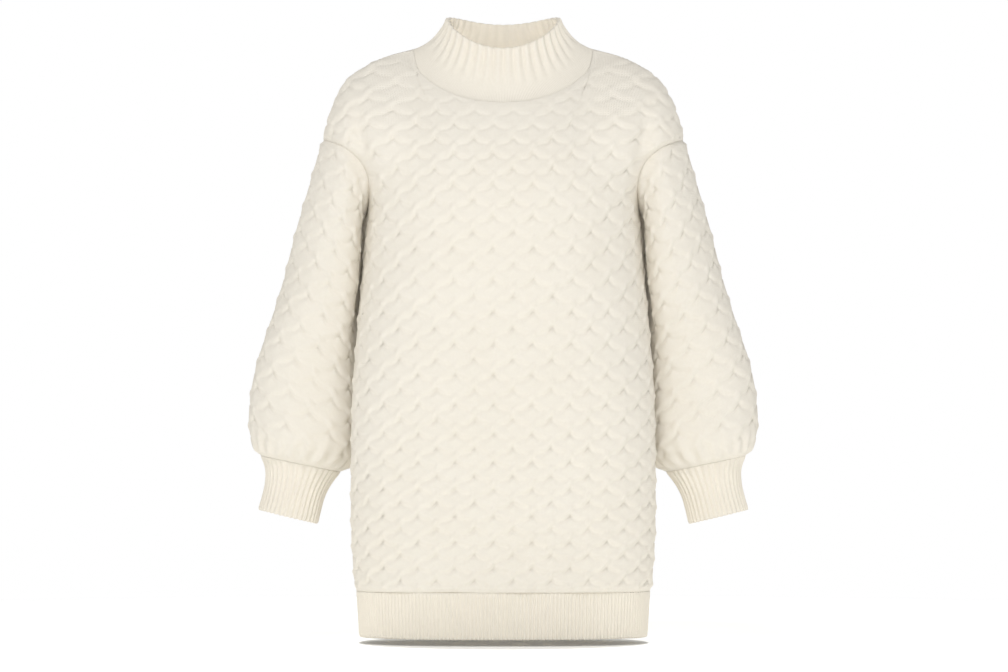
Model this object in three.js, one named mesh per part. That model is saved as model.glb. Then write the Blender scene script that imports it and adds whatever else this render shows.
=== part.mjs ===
// A knitted sweater dress, filled out as when it is worn, with nobody in it.
// Front and back panels in an all-over cable lattice, balloon sleeves set on dropped shoulders, and a ribbed
// funnel neck, ribbed cuffs and a ribbed hem band.
// Millimetres, +Z up, the front faces -Y. The origin lies midway between the shoulders' two neck points.
import * as THREE from "three";

// Driving sizes of the knit
const WALL = 3; // thickness of the knit between its cables
const CABLE_RELIEF = 3.5; // how far a cable crossing stands above the floor of the lattice
const CELL_FLOOR = -2; // the lattice floor, measured from the garment's mean outer surface
const HOLLOW_FOOT = 0.55; // share of the relief that is left at the lower end of each hollow
const HOLLOW_HALF = 0.36; // half height of a hollow, in lattice rows
const SEAM_GAP = 0.3; // clearance between neighbouring pieces

// Driving counts
const PANEL_COLUMNS = 20; // half cells across a panel
const LOWER_ROWS = 26; // lattice rows from the hem band to the underarm
const YOKE_ROWS = 8; // lattice rows from the underarm to the shoulder
const SLEEVE_ROWS = 18; // lattice rows along a sleeve
const SLEEVE_COLUMNS = 2 * YOKE_ROWS; // one column for each row that meets the armhole, front and back
const NECK_COLUMNS = 5; // half cells from the centre line to the neck point
const HEM_RIBS = 98; // ribs across one hem band
const CUFF_RIBS = 36; // ribs round a cuff
const NECK_RIBS = 40; // ribs round the neckband

// Ribs: how far a rib stands above its groove
const HEM_RIB_RELIEF = 1.4;
const CUFF_RIB_RELIEF = 1.6;
const NECK_RIB_RELIEF = 2.2;

// Main heights
const HEM_Z = -810;
const HEM_SEAM_Z = -745;
const UNDERARM_Z = -225;

const FRONT_SQUARENESS = 2.35; // exponent of the front half of a body ring

// Body rings: half width at the side seam, depth of the side seam, centre front and centre back, and the
// exponent of the back half, which is under 2 where the sleeves press the body's back corners in.
const BODY_RINGS = [
  { z: -810, halfWidth: 199, sideY: 0, frontY: -116, backY: 113, backSquareness: 2.1 },
  { z: -745, halfWidth: 203, sideY: -2, frontY: -117, backY: 115, backSquareness: 2.05 },
  { z: -662, halfWidth: 208, sideY: -8, frontY: -118, backY: 117, backSquareness: 1.9 },
  { z: -552, halfWidth: 208, sideY: -13, frontY: -120, backY: 114, backSquareness: 1.75 },
  { z: -469, halfWidth: 206, sideY: -10, frontY: -121, backY: 107, backSquareness: 1.7 },
  { z: -386, halfWidth: 200, sideY: 6, frontY: -123, backY: 99, backSquareness: 1.7 },
  { z: -304, halfWidth: 193, sideY: 20, frontY: -126, backY: 98, backSquareness: 1.8 },
  { z: -225, halfWidth: 189, sideY: 22, frontY: -127, backY: 103, backSquareness: 1.9 },
];

// Shoulder ridge from the neck point out to the top of the armhole seam.
const SHOULDER_RIDGE = [
  { x: 126, y: 10, z: 2 },
  { x: 159, y: 12, z: -7 },
  { x: 188, y: 15, z: -20 },
  { x: 215, y: 18, z: -40 },
  { x: 232.5, y: 20, z: -68 },
  { x: 242, y: 21, z: -97 },
  { x: 249, y: 22, z: -124 },
];

// Neckline seam in the front view: its height at the centre, and how full the chest or back is above the
// underarm, as the power that bends the yoke's side profile.
const NECKLINE = { front: { z: -75, fullness: 1.6 }, back: { z: -14, fullness: 1.15 } };
const ARM_FULLNESS = 1.15;
const YOKE_CREST = { x: 0, y: 6, z: 16 }; // where the shoulder line would cross the neck opening

// Top edge of the funnel neck: half width, depths, and height as a mean with two cosine terms.
const NECK_TOP = { halfWidth: 78.5, frontY: -60, sideY: -2, backY: 54, mean: 30.5, tilt: -17.9, saddle: -11.5 };
const NECK_FLARE = { inward: 1.5, upward: 1.3 }; // powers that bend the funnel's side profile

// Sleeve sections, from the armhole seam to the cuff seam: outer and inner edge in the front view, middle
// depth, half depths, and how far the section saddles towards the body at its front and back.
const SLEEVE_SECTIONS = [
  { at: 0, outX: 249, outZ: -124, inX: 189, inZ: -225, midY: 22, front: 76, back: 68, saddle: 29.6 },
  { at: 0.11, outX: 260.5, outZ: -165, inX: 186, inZ: -262, midY: 28, front: 76, back: 68, saddle: 14 },
  { at: 0.25, outX: 278.5, outZ: -226, inX: 184, inZ: -305, midY: 38, front: 71, back: 66, saddle: 4 },
  { at: 0.41, outX: 299, outZ: -296, inX: 183, inZ: -356, midY: 46, front: 66, back: 62, saddle: 0 },
  { at: 0.57, outX: 319, outZ: -363, inX: 184, inZ: -410, midY: 50, front: 62, back: 60, saddle: 0 },
  { at: 0.72, outX: 338, outZ: -430, inX: 186, inZ: -470, midY: 52, front: 59, back: 59, saddle: 0 },
  { at: 0.86, outX: 349.5, outZ: -492, inX: 188, inZ: -526, midY: 52, front: 57, back: 58, saddle: 0 },
  { at: 0.94, outX: 350.5, outZ: -529, inX: 196, inZ: -555, midY: 50, front: 54, back: 55, saddle: 0 },
  { at: 0.985, outX: 345.5, outZ: -552, inX: 212, inZ: -575, midY: 48, front: 44, back: 45, saddle: 0 },
  { at: 1, outX: 337, outZ: -560, inX: 225, inZ: -583, midY: 47, front: 35, back: 36, saddle: 0 },
];

// Cuff sections, from the cuff seam to the open end, with the columns of the sleeve's table.
const CUFF_SECTIONS = [
  { at: 0, outX: 337, outZ: -560, inX: 225, inZ: -583, midY: 47, front: 35, back: 36, saddle: 0 },
  { at: 0.25, outX: 330.5, outZ: -578, inX: 238, inZ: -600, midY: 46, front: 29, back: 29, saddle: 0 },
  { at: 0.5, outX: 330.5, outZ: -597, inX: 247, inZ: -617, midY: 45, front: 26, back: 26, saddle: 0 },
  { at: 0.75, outX: 334.5, outZ: -616, inX: 252.5, inZ: -636, midY: 44, front: 25, back: 25, saddle: 0 },
  { at: 1, outX: 340.5, outZ: -636, inX: 257, inZ: -656, midY: 43, front: 26, back: 26, saddle: 0 },
];

// The crease between body and sleeve, in front of and behind the middle of the arm: its depth at each height.
const CREASE = { x: 194, halfWidth: 18, middleY: 20, fadeY: 40 };
const CREASE_DEPTHS = [
  { z: -345, front: 0, back: 0 },
  { z: -290, front: 8, back: 6 },
  { z: -225, front: 15, back: 10 },
  { z: -156, front: 15, back: 10 },
  { z: -105, front: 6, back: 3 },
  { z: -65, front: 0, back: 0 },
];
const SLEEVE_CLEARANCE = 8; // between the mean surfaces of sleeve and body where they press together
const SLEEVE_SOFTNESS = 16; // over which the sleeve's side flattens against the body
const SLEEVE_ENDS = { armhole: 0.05, cuff: 0.97 }; // the shares of its length between which it is kept off

// How the lattice lies on the yoke, in shares from the centre line (0) to the side seam (1)
const UNDERARM_DIP = { depth: 26, from: 0.55 }; // rows run level and climb to the underarm point
const ARMHOLE_PULL = 0.5; // from here outwards the yoke follows the armhole seam
const LEVEL_POWER = 3; // how late, going up, the rows bend to follow the neckline
const NECK_SPREAD = { shift: 0.02, reach: 0.3, from: 0.2, to: 0.85 }; // room for columns under the neck point
const NECK_TURN = 0.6; // share of the neckline where its wall starts to turn upright towards the neck point

// Where the relief is calmer: beside the armhole and under the neckline. from and to are shares across the
// panel, rows are counted down from the shoulder or up to the underarm, and less is the relief taken away.
const CALM_BESIDE = { from: 0.7, to: 0.95, rows: 3, less: 0.8 };
const CALM_UNDER = { middle: 0.4, halfWidth: 0.3, low: 6, high: 3, less: 0.65 };

const LONGEST_MITRE = 1.8; // how much longer than the wall is thick a mitred seam may get
const NECK_RIB_FADE = 0.35; // share of the neckband's rib relief that is left at its seam

// The inner wall is sampled at every row near the armhole and at every other row elsewhere.
const FINE_INNER_ROWS = 4;

// Steps for reading the cloth's direction, as shares of a piece, in rows or in radians
const PACE_STEPS = 96;
const PANEL_STEP = { share: 0.1, row: 1 };
const RIDGE_STEP = 0.05;
const TUBE_STEP = { turn: 0.2, at: 0.02 };
const HEM_STEP = { share: 0.02, height: 0.4 };
const NECK_STEP = { around: 0.02, up: 0.05 };
const SEARCH = { reach: 0.3, shrink: 0.7, end: 1e-4 }; // closing in on a place of the yoke
const CUT_STARTS = { armhole: { out: 0.8, rise: 0.5 }, necklineRise: 0.8 };
const NEAR = 1e-6;

// Small helpers
const clamp01 = (t) => Math.min(1, Math.max(0, t));
const mix = (a, b, t) => a + (b - a) * t;
const smoothstep = (a, b, t) => {
  const s = clamp01((t - a) / (b - a));
  return s * s * (3 - 2 * s);
};
const softMax = (a, b, soft) => {
  const h = clamp01(0.5 + (0.5 * (a - b)) / soft);
  return mix(b, a, h) + soft * h * (1 - h);
};

// Reads a column of a table at any place along its key column, as a smooth curve through the rows.
function readTable(rows, key, at, column) {
  const last = rows.length - 2;
  let k = 0;
  while (k < last && at > rows[k + 1][key]) k++;
  const slope = (i) => {
    const a = rows[Math.max(0, i - 1)];
    const b = rows[Math.min(rows.length - 1, i + 1)];
    return (b[column] - a[column]) / (b[key] - a[key]);
  };
  const [p, q] = [rows[k], rows[k + 1]];
  const span = q[key] - p[key];
  const t = clamp01((at - p[key]) / span);
  const [t2, t3] = [t * t, t * t * t];
  return (
    (2 * t3 - 3 * t2 + 1) * p[column] +
    (t3 - 2 * t2 + t) * span * slope(k) +
    (3 * t2 - 2 * t3) * q[column] +
    (t3 - t2) * span * slope(k + 1)
  );
}

// Turns a curve on 0..1 into one that is walked at an even pace.
function evenPace(curve) {
  const points = Array.from({ length: PACE_STEPS + 1 }, (_, k) => curve(k / PACE_STEPS));
  const run = [0];
  for (let k = 1; k <= PACE_STEPS; k++) run.push(run[k - 1] + points[k].distanceTo(points[k - 1]));
  return (share) => {
    const goal = share * run[PACE_STEPS];
    let k = 1;
    while (k < PACE_STEPS && run[k] < goal) k++;
    const t = (goal - run[k - 1]) / (run[k] - run[k - 1]);
    return points[k - 1].clone().lerp(points[k], t);
  };
}

// The crease pulls cloth near the armpit towards the middle of the arm.
function creased(p) {
  const inFront = p.y < CREASE.middleY;
  const depth = readTable(CREASE_DEPTHS, "z", p.z, inFront ? "front" : "back");
  const across = (Math.abs(p.x) - CREASE.x) / CREASE.halfWidth;
  const offMiddle = smoothstep(0, CREASE.fadeY, Math.abs(p.y - CREASE.middleY));
  const pull = depth * Math.exp(-across * across) * offMiddle;
  p.y += inFront ? pull : -pull;
  return p;
}

// Half a body ring at one height, from the centre line (share 0) to the side seam (share 1), for x above 0.
function bodyRing(z, face) {
  const read = (column) => readTable(BODY_RINGS, "z", z, column);
  const [halfWidth, sideY, centreY] = [read("halfWidth"), read("sideY"), read(face + "Y")];
  const power = 2 / (face === "front" ? FRONT_SQUARENESS : read("backSquareness"));
  return evenPace((t) => {
    const turn = (t * Math.PI) / 2;
    const x = halfWidth * Math.sin(turn) ** power;
    const y = sideY + (centreY - sideY) * Math.cos(turn) ** power;
    return new THREE.Vector3(x, y, z);
  });
}

// How far the body reaches sideways at a depth and height.
function bodyHalfWidthAt(y, z) {
  const height = Math.min(z, UNDERARM_Z);
  const read = (column) => readTable(BODY_RINGS, "z", height, column);
  const sideY = read("sideY");
  const face = y < sideY ? "front" : "back";
  const share = Math.abs((y - sideY) / (read(face + "Y") - sideY));
  const squareness = face === "front" ? FRONT_SQUARENESS : read("backSquareness");
  return share >= 1 ? 0 : read("halfWidth") * (1 - share ** squareness) ** (1 / squareness);
}

// The shoulder line, carried on to the middle of the neck opening: out is 0 there, NECK_SHARE at the neck
// point and 1 at the top of the armhole.
const NECK_SHARE = (2 * NECK_COLUMNS) / PANEL_COLUMNS;
const ridge = evenPace((t) => {
  const rows = SHOULDER_RIDGE.map((row, index) => ({ ...row, index }));
  const at = t * (SHOULDER_RIDGE.length - 1);
  return new THREE.Vector3(...["x", "y", "z"].map((c) => readTable(rows, "index", at, c)));
});
function shoulderLine(out) {
  if (out > NECK_SHARE) return ridge((out - NECK_SHARE) / (1 - NECK_SHARE));
  const inwards = 1 - out / NECK_SHARE;
  const neckPoint = SHOULDER_RIDGE[0];
  return new THREE.Vector3(
    neckPoint.x * (1 - inwards),
    mix(neckPoint.y, YOKE_CREST.y, inwards),
    mix(neckPoint.z, YOKE_CREST.z, inwards * (2 - inwards)),
  );
}

// A point of a sleeve or cuff. Turn 0 is its outer edge, a quarter turn its front, half a turn its inner.
function tubePoint(sections, at, turn) {
  const row = {};
  for (const column of Object.keys(sections[0])) row[column] = readTable(sections, "at", at, column);
  const [reachX, reachZ] = [(row.outX - row.inX) / 2, (row.outZ - row.inZ) / 2];
  const length = Math.hypot(reachX, reachZ);
  const lean = (row.saddle * Math.sin(turn) ** 2) / length;
  const depth = Math.sin(turn) > 0 ? row.front : row.back;
  return new THREE.Vector3(
    (row.outX + row.inX) / 2 + reachX * Math.cos(turn) - reachZ * lean,
    row.midY - depth * Math.sin(turn),
    (row.outZ + row.inZ) / 2 + reachZ * Math.cos(turn) + reachX * lean,
  );
}
function sleevePoint(at, turn) {
  const p = creased(tubePoint(SLEEVE_SECTIONS, at, turn));
  const away = bodyHalfWidthAt(p.y, p.z) + SLEEVE_CLEARANCE;
  const keptOff = smoothstep(0, SLEEVE_ENDS.armhole, at) * smoothstep(1, SLEEVE_ENDS.cuff, at);
  p.x = mix(p.x, softMax(p.x, away, SLEEVE_SOFTNESS), keptOff);
  return p;
}

// The armhole seam, from the underarm (share 0) to the shoulder (share 1).
const armholeTurn = (share, face) => Math.PI * (1 - share) * (face === "front" ? 1 : -1);
const armhole = (share, face) => sleevePoint(0, armholeTurn(share, face));

// The yoke: half a panel above the underarm, before it is cut by the armhole. out runs from the centre line
// to the outermost line of the arm, and rise from the underarm to the shoulder.
const underarmRing = { front: bodyRing(UNDERARM_Z, "front"), back: bodyRing(UNDERARM_Z, "back") };
function yokePoint(out, rise, face) {
  const low = underarmRing[face](out);
  const high = shoulderLine(out);
  const turn = (Math.PI / 2) * rise;
  const fullness = mix(NECKLINE[face].fullness, ARM_FULLNESS, smoothstep(NECK_SHARE, 1, out));
  return new THREE.Vector3(
    mix(low.x, high.x, smoothstep(0, 1, rise)),
    mix(high.y, low.y, Math.max(0, Math.cos(turn)) ** fullness),
    mix(low.z, high.z, Math.sin(turn)),
  );
}

// The nearest place on the yoke to a point, found by closing in on it. Depth can be left out of the search.
function nearestPlace(target, face, start, ignoreDepth = false) {
  let best = start;
  const miss = (place) => {
    const p = yokePoint(place.out, place.rise, face).sub(target);
    return ignoreDepth ? Math.hypot(p.x, p.z) : p.length();
  };
  for (let reach = SEARCH.reach; reach > SEARCH.end; reach *= SEARCH.shrink) {
    const tries = [best];
    for (const stepOut of [-1, 0, 1]) {
      for (const stepRise of [-1, 0, 1]) {
        tries.push({ out: clamp01(best.out + stepOut * reach), rise: clamp01(best.rise + stepRise * reach) });
      }
    }
    best = tries.reduce((a, b) => (miss(b) < miss(a) ? b : a));
  }
  return best;
}

// Where the armhole and the neckline cut the yoke, for each lattice row and column that meets them.
function armholeCut(face) {
  return Array.from({ length: YOKE_ROWS + 1 }, (_, k) => {
    const share = k / YOKE_ROWS;
    const target = tubePoint(SLEEVE_SECTIONS, 0, armholeTurn(share, face));
    const onEnd = k === 0 || k === YOKE_ROWS;
    const place = onEnd ? { out: 1, rise: share } : nearestPlace(target, face, CUT_STARTS.armhole);
    const shift = target.sub(yokePoint(place.out, place.rise, face));
    return { share, ...place, x: shift.x, y: shift.y, z: shift.z };
  });
}
function necklineCut(face) {
  return Array.from({ length: NECK_COLUMNS + 1 }, (_, k) => {
    const share = k / NECK_COLUMNS;
    const turn = (share * Math.PI) / 2;
    const point = SHOULDER_RIDGE[0];
    const height = mix(point.z, NECKLINE[face].z, Math.cos(turn));
    const target = new THREE.Vector3(point.x * Math.sin(turn), 0, height);
    const start = { out: share * NECK_SHARE, rise: CUT_STARTS.necklineRise };
    const place = k === NECK_COLUMNS ? { out: NECK_SHARE, rise: 1 } : nearestPlace(target, face, start, true);
    return { share, ...place };
  });
}
const ARMHOLE_CUT = { front: armholeCut("front"), back: armholeCut("back") };
const NECKLINE_CUT = { front: necklineCut("front"), back: necklineCut("back") };

// A place of a panel: share runs from one side seam (-1) to the other (1), row from the hem band (0) up.
const dipAt = (out) => UNDERARM_DIP.depth * (1 - smoothstep(UNDERARM_DIP.from, 1, out));
function panelPoint(share, row, face) {
  const out = Math.abs(share);
  let p;
  if (row <= LOWER_ROWS) {
    p = bodyRing(mix(HEM_SEAM_Z, UNDERARM_Z - dipAt(out), row / LOWER_ROWS), face)(out);
  } else {
    const up = (row - LOWER_ROWS) / YOKE_ROWS;
    const side = (column) => readTable(ARMHOLE_CUT[face], "share", up, column);
    const top = (column) => readTable(NECKLINE_CUT[face], "share", Math.min(1, out / NECK_SHARE), column);
    const topOut = out < NECK_SHARE ? top("out") : out;
    const levelRise = mix(NECKLINE_CUT[face][0].rise, 1, smoothstep(0, 1, out));
    const place = {
      out: out * side("out") + up * up * (topOut - out) + neckPointSpread(out, up),
      rise: up * mix(levelRise, top("rise"), up ** LEVEL_POWER) + out * out * (side("rise") - up),
    };
    p = yokePoint(place.out, place.rise, face);
    p.z -= dipAt(out) * (1 - up) ** 2;
    p.addScaledVector(new THREE.Vector3(side("x"), side("y"), side("z")), smoothstep(ARMHOLE_PULL, 1, out));
  }
  p = creased(p);
  p.x *= Math.sign(share) || 1;
  return p;
}
// Under the neck point the lattice columns stand a little further out, so that none is squeezed there.
function neckPointSpread(out, up) {
  const beside = Math.max(0, 1 - Math.abs(out - NECK_SHARE) / NECK_SPREAD.reach);
  const height = smoothstep(NECK_SPREAD.from, NECK_SPREAD.to, up) * smoothstep(1, NECK_SPREAD.to, up);
  return NECK_SPREAD.shift * beside * beside * height;
}
const neckline = (share, face) => panelPoint(share * NECK_SHARE, LOWER_ROWS + YOKE_ROWS, face);

// Outward direction of a surface whose first parameter runs from -1 to 1 and whose second from 0 to top.
function outward(surface, a, b, stepA, stepB, top) {
  const at = (i, j) => surface(Math.min(1, Math.max(-1, i)), Math.min(top, Math.max(0, j)));
  const alongA = at(a + stepA, b).sub(at(a - stepA, b));
  const alongB = at(a, b + stepB).sub(at(a, b - stepB));
  return alongA.cross(alongB).normalize();
}

const evenPlaces = (edge) => edge.map((_, k) => k / (edge.length - 1));

// Collects vertices and faces of one closed solid.
class Solid {
  constructor() {
    this.positions = [];
    this.faces = [];
  }
  vertex(p) {
    this.positions.push(p.x, p.y, p.z);
    return this.positions.length / 3 - 1;
  }
  face(a, b, c) {
    this.faces.push(a, b, c);
  }
  // A grid of vertex rows, wound counter-clockwise when columns run right and rows run up. Its quads are
  // split from crossing to crossing of the lattice, which needs each row's lattice number.
  grid(rows, { inwards = false, rowNumbers = rows.map(() => 0) } = {}) {
    const face = (a, b, c) => (inwards ? this.face(a, c, b) : this.face(a, b, c));
    for (let j = 0; j + 1 < rows.length; j++) {
      for (let i = 0; i + 1 < rows[j].length; i++) {
        const [a, b, c, d] = [rows[j][i], rows[j][i + 1], rows[j + 1][i + 1], rows[j + 1][i]];
        if ((i + rowNumbers[j]) % 2 === 0) {
          face(a, b, c);
          face(a, c, d);
        } else {
          face(a, b, d);
          face(b, c, d);
        }
      }
    }
  }
  // Closes the rim between an outer and an inner edge. The places say where each vertex is along them. Rims
  // that face each other across a seam are walked opposite ways, so one is marked as backwards to make
  // both split alike.
  rim(outer, inner, { backwards = false, outerPlaces, innerPlaces } = {}) {
    outerPlaces ??= evenPlaces(outer);
    innerPlaces ??= evenPlaces(inner);
    let [i, k] = [0, 0];
    while (i + 1 < outer.length || k + 1 < inner.length) {
      const caughtUp = outerPlaces[i] > innerPlaces[k] - NEAR;
      const notPast = outerPlaces[i + 1] < innerPlaces[k + 1] + NEAR;
      const stepOuter = k + 1 === inner.length || (i + 1 < outer.length && (backwards ? notPast : !caughtUp));
      if (stepOuter) {
        this.face(outer[i], inner[k], outer[i + 1]);
        i++;
      } else {
        this.face(outer[i], inner[k], inner[k + 1]);
        k++;
      }
    }
  }
  mesh(name, colour, mirrored = false) {
    const positions = mirrored ? this.positions.map((v, k) => (k % 3 ? v : -v)) : this.positions;
    const faces = mirrored ? this.faces.map((_, k, all) => all[k - (k % 3) + 2 - (k % 3)]) : this.faces;
    const geometry = new THREE.BufferGeometry();
    geometry.setAttribute("position", new THREE.Float32BufferAttribute(positions, 3));
    geometry.setIndex(faces);
    geometry.computeVertexNormals();
    const material = new THREE.MeshStandardMaterial({ color: colour, roughness: 0.95, metalness: 0 });
    const mesh = new THREE.Mesh(geometry, material);
    mesh.name = name;
    return mesh;
  }
}

// Covers a grid of cloth points with the cable lattice. Crossings stand where column and row add up to an
// even number. The diamond round each other grid point is a hollow, deeper under the crossing above it.
function latticeFaces(solid, columns, rows, point, wraps) {
  const made = new Map();
  const corner = (i, j) => {
    const column = wraps ? (i + columns) % columns : i;
    const key = column + "," + j;
    if (!made.has(key)) {
      const onEdge = j === 0 || j === rows || (!wraps && (i === 0 || i === columns));
      const crossing = (i + j) % 2 === 0;
      const lift = onEdge ? 0 : crossing ? CELL_FLOOR + CABLE_RELIEF : CELL_FLOOR;
      made.set(key, solid.vertex(point(column, j, lift)));
    }
    return made.get(key);
  };
  const lastColumn = wraps ? columns - 1 : columns;
  for (let j = 0; j <= rows; j++) {
    for (let i = 0; i <= lastColumn; i++) {
      if ((i + j) % 2 === 0) continue;
      const left = wraps || i > 0 ? corner(i - 1, j) : null;
      const right = wraps || i < columns ? corner(i + 1, j) : null;
      const below = j > 0 ? corner(i, j - 1) : null;
      const above = j < rows ? corner(i, j + 1) : null;
      const whole = [left, right, below, above].every((v) => v !== null);
      const footLift = CELL_FLOOR + HOLLOW_FOOT * CABLE_RELIEF;
      const low = whole ? solid.vertex(point(i, j - HOLLOW_HALF, footLift)) : corner(i, j);
      const high = whole ? solid.vertex(point(i, j + HOLLOW_HALF, CELL_FLOOR)) : low;
      if (below !== null && right !== null) solid.face(below, right, low);
      if (right !== null && above !== null) solid.face(right, above, high);
      if (above !== null && left !== null) solid.face(above, left, high);
      if (left !== null && below !== null) solid.face(left, below, low);
      if (whole) {
        solid.face(right, high, low);
        solid.face(left, low, high);
      }
    }
  }
  return corner;
}

// A front or back panel.
function panel(face) {
  const solid = new Solid();
  const rows = LOWER_ROWS + YOKE_ROWS;
  const turned = face === "front" ? 1 : -1; // seen from outside, columns run to the right
  const gapY = face === "front" ? -SEAM_GAP / 2 : SEAM_GAP / 2;
  const clothPoint = (i, j, lift) => {
    const share = turned * (-1 + (2 * i) / PANEL_COLUMNS);
    const p = panelPoint(share, j, face);
    const edge = Math.abs(share) === 1 || (j === rows && Math.abs(share) >= NECK_SHARE);
    if (edge && (j <= LOWER_ROWS || j === rows)) p.y += gapY;
    return p.addScaledVector(panelDirection(share, j, face), lift);
  };
  const fromCentre = (i) => Math.abs(-1 + (2 * i) / PANEL_COLUMNS);
  const relief = (i, j, lift) => clothPoint(i, j, lift * panelRelief(fromCentre(i), j));
  const corner = latticeFaces(solid, PANEL_COLUMNS, rows, relief, false);
  const outerRows = Array.from({ length: rows + 1 }, (_, j) => j);
  const innerRows = outerRows.filter((j) => j > LOWER_ROWS - FINE_INNER_ROWS || j % 2 === 0);
  const innerPoint = (i, j) => solid.vertex(clothPoint(i, j, CELL_FLOOR - WALL));
  const inner = innerRows.map((j) => Array.from({ length: PANEL_COLUMNS + 1 }, (_, i) => innerPoint(i, j)));
  solid.grid(inner, { inwards: true, rowNumbers: innerRows });
  const edgeOf = (at) => outerRows.map((j) => corner(at, j));
  const acrossOf = (at) => Array.from({ length: PANEL_COLUMNS + 1 }, (_, i) => corner(i, at));
  solid.rim(acrossOf(0), inner[0]);
  solid.rim(acrossOf(rows).reverse(), inner.at(-1).slice().reverse(), { backwards: face === "back" });
  const upwards = { outerPlaces: outerRows, innerPlaces: innerRows };
  solid.rim(edgeOf(PANEL_COLUMNS), inner.map((row) => row[PANEL_COLUMNS]), upwards);
  const fromTop = (places) => places.map((j) => rows - j).reverse();
  const downwards = { backwards: true, outerPlaces: fromTop(outerRows), innerPlaces: fromTop(innerRows) };
  solid.rim(edgeOf(0).reverse(), inner.map((row) => row[0]).reverse(), downwards);
  return solid;
}

// How much of the lattice's relief stands at a place of a panel.
function panelRelief(out, row) {
  const top = LOWER_ROWS + YOKE_ROWS;
  const aboveUnderarm = smoothstep(LOWER_ROWS - CALM_BESIDE.rows, LOWER_ROWS, row);
  const belowShoulder = smoothstep(top, top - CALM_BESIDE.rows, row);
  const beside = smoothstep(CALM_BESIDE.from, CALM_BESIDE.to, out) * aboveUnderarm * belowShoulder;
  const near = smoothstep(CALM_UNDER.halfWidth, 0, Math.abs(out - CALM_UNDER.middle));
  const under = near * smoothstep(top - CALM_UNDER.low, top - CALM_UNDER.high, row) * (1 - beside);
  return 1 - CALM_BESIDE.less * beside - CALM_UNDER.less * under;
}

// The way the wall's thickness points on a panel. Along seams it is shared by the pieces that meet there.
function panelDirection(share, row, face) {
  const side = Math.sign(share) || 1;
  const out = Math.abs(share);
  const rows = LOWER_ROWS + YOKE_ROWS;
  if (out === 1 && row >= LOWER_ROWS) {
    const { direction } = armholeSeam((row - LOWER_ROWS) / YOKE_ROWS, face);
    direction.x *= side;
    return direction;
  }
  if (row === rows) {
    const direction = out <= NECK_SHARE ? necklineDirection(out / NECK_SHARE, face) : ridgeDirection(out);
    direction.x *= side;
    return direction;
  }
  if (out === 1) return new THREE.Vector3(side, 0, 0);
  const direction = clothDirection(share, row, face);
  return row === 0 ? direction.setZ(0).normalize() : direction;
}
function clothDirection(share, row, face) {
  const surface = (s, r) => panelPoint(s, r, face);
  const direction = outward(surface, share, row, PANEL_STEP.share, PANEL_STEP.row, LOWER_ROWS + YOKE_ROWS);
  return face === "back" ? direction.negate() : direction;
}
function ridgeDirection(share) {
  const at = (share - NECK_SHARE) / (1 - NECK_SHARE);
  const along = ridge(Math.min(1, at + RIDGE_STEP)).sub(ridge(Math.max(0, at - RIDGE_STEP)));
  return new THREE.Vector3(-along.z, 0, along.x).normalize();
}
function necklineDirection(share, face) {
  const ofPanel = clothDirection(share * NECK_SHARE, LOWER_ROWS + YOKE_ROWS, face);
  return ofPanel.lerp(ridgeDirection(NECK_SHARE), smoothstep(NECK_TURN, 1, share)).normalize();
}

// Along the armhole the walls of panel and sleeve are mitred: they share the direction midway between
// theirs, which is longer where they meet at a sharp angle, and evened out along the seam. across points
// over the seam to the sleeve.
function mitre(share, face) {
  const seam = armhole(share, face);
  const step = 1 / YOKE_ROWS;
  const upwards = armhole(Math.min(1, share + step), face).sub(armhole(Math.max(0, share - step), face));
  if (face === "back") upwards.negate();
  if (share === 0) upwards.set(0, -1, 0);
  if (share === 1) upwards.set(0, 1, 0);
  const alongSleeve = sleevePoint(1 / SLEEVE_ROWS, armholeTurn(share, face)).sub(seam);
  const ofSleeve = alongSleeve.cross(upwards).normalize();
  let ofPanel = new THREE.Vector3(1, 0, 0);
  if (share === 1) ofPanel = ridgeDirection(1);
  else if (share > 0) {
    const intoPanel = panelPoint(1 - 2 / PANEL_COLUMNS, LOWER_ROWS + share * YOKE_ROWS, face).sub(seam);
    ofPanel = upwards.clone().cross(intoPanel).normalize();
  }
  const direction = ofSleeve.clone().add(ofPanel).normalize();
  direction.divideScalar(Math.max(1 / LONGEST_MITRE, direction.dot(ofSleeve)));
  return { direction, upwards };
}
function armholeSeam(share, face) {
  const step = 1 / YOKE_ROWS;
  const { direction, upwards } = mitre(share, face);
  if (share > 0 && share < 1) {
    direction.multiplyScalar(2);
    for (const beside of [share - step, share + step]) direction.add(mitre(beside, face).direction);
    direction.divideScalar(4);
  }
  return { direction, across: upwards.cross(direction).normalize() };
}
function tubeDirection(surface, at, turn) {
  const around = surface(at, turn + TUBE_STEP.turn).sub(surface(at, turn - TUBE_STEP.turn));
  const [before, after] = [Math.max(0, at - TUBE_STEP.at), Math.min(1, at + TUBE_STEP.at)];
  const along = surface(after, turn).sub(surface(before, turn));
  return around.cross(along).normalize();
}

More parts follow.
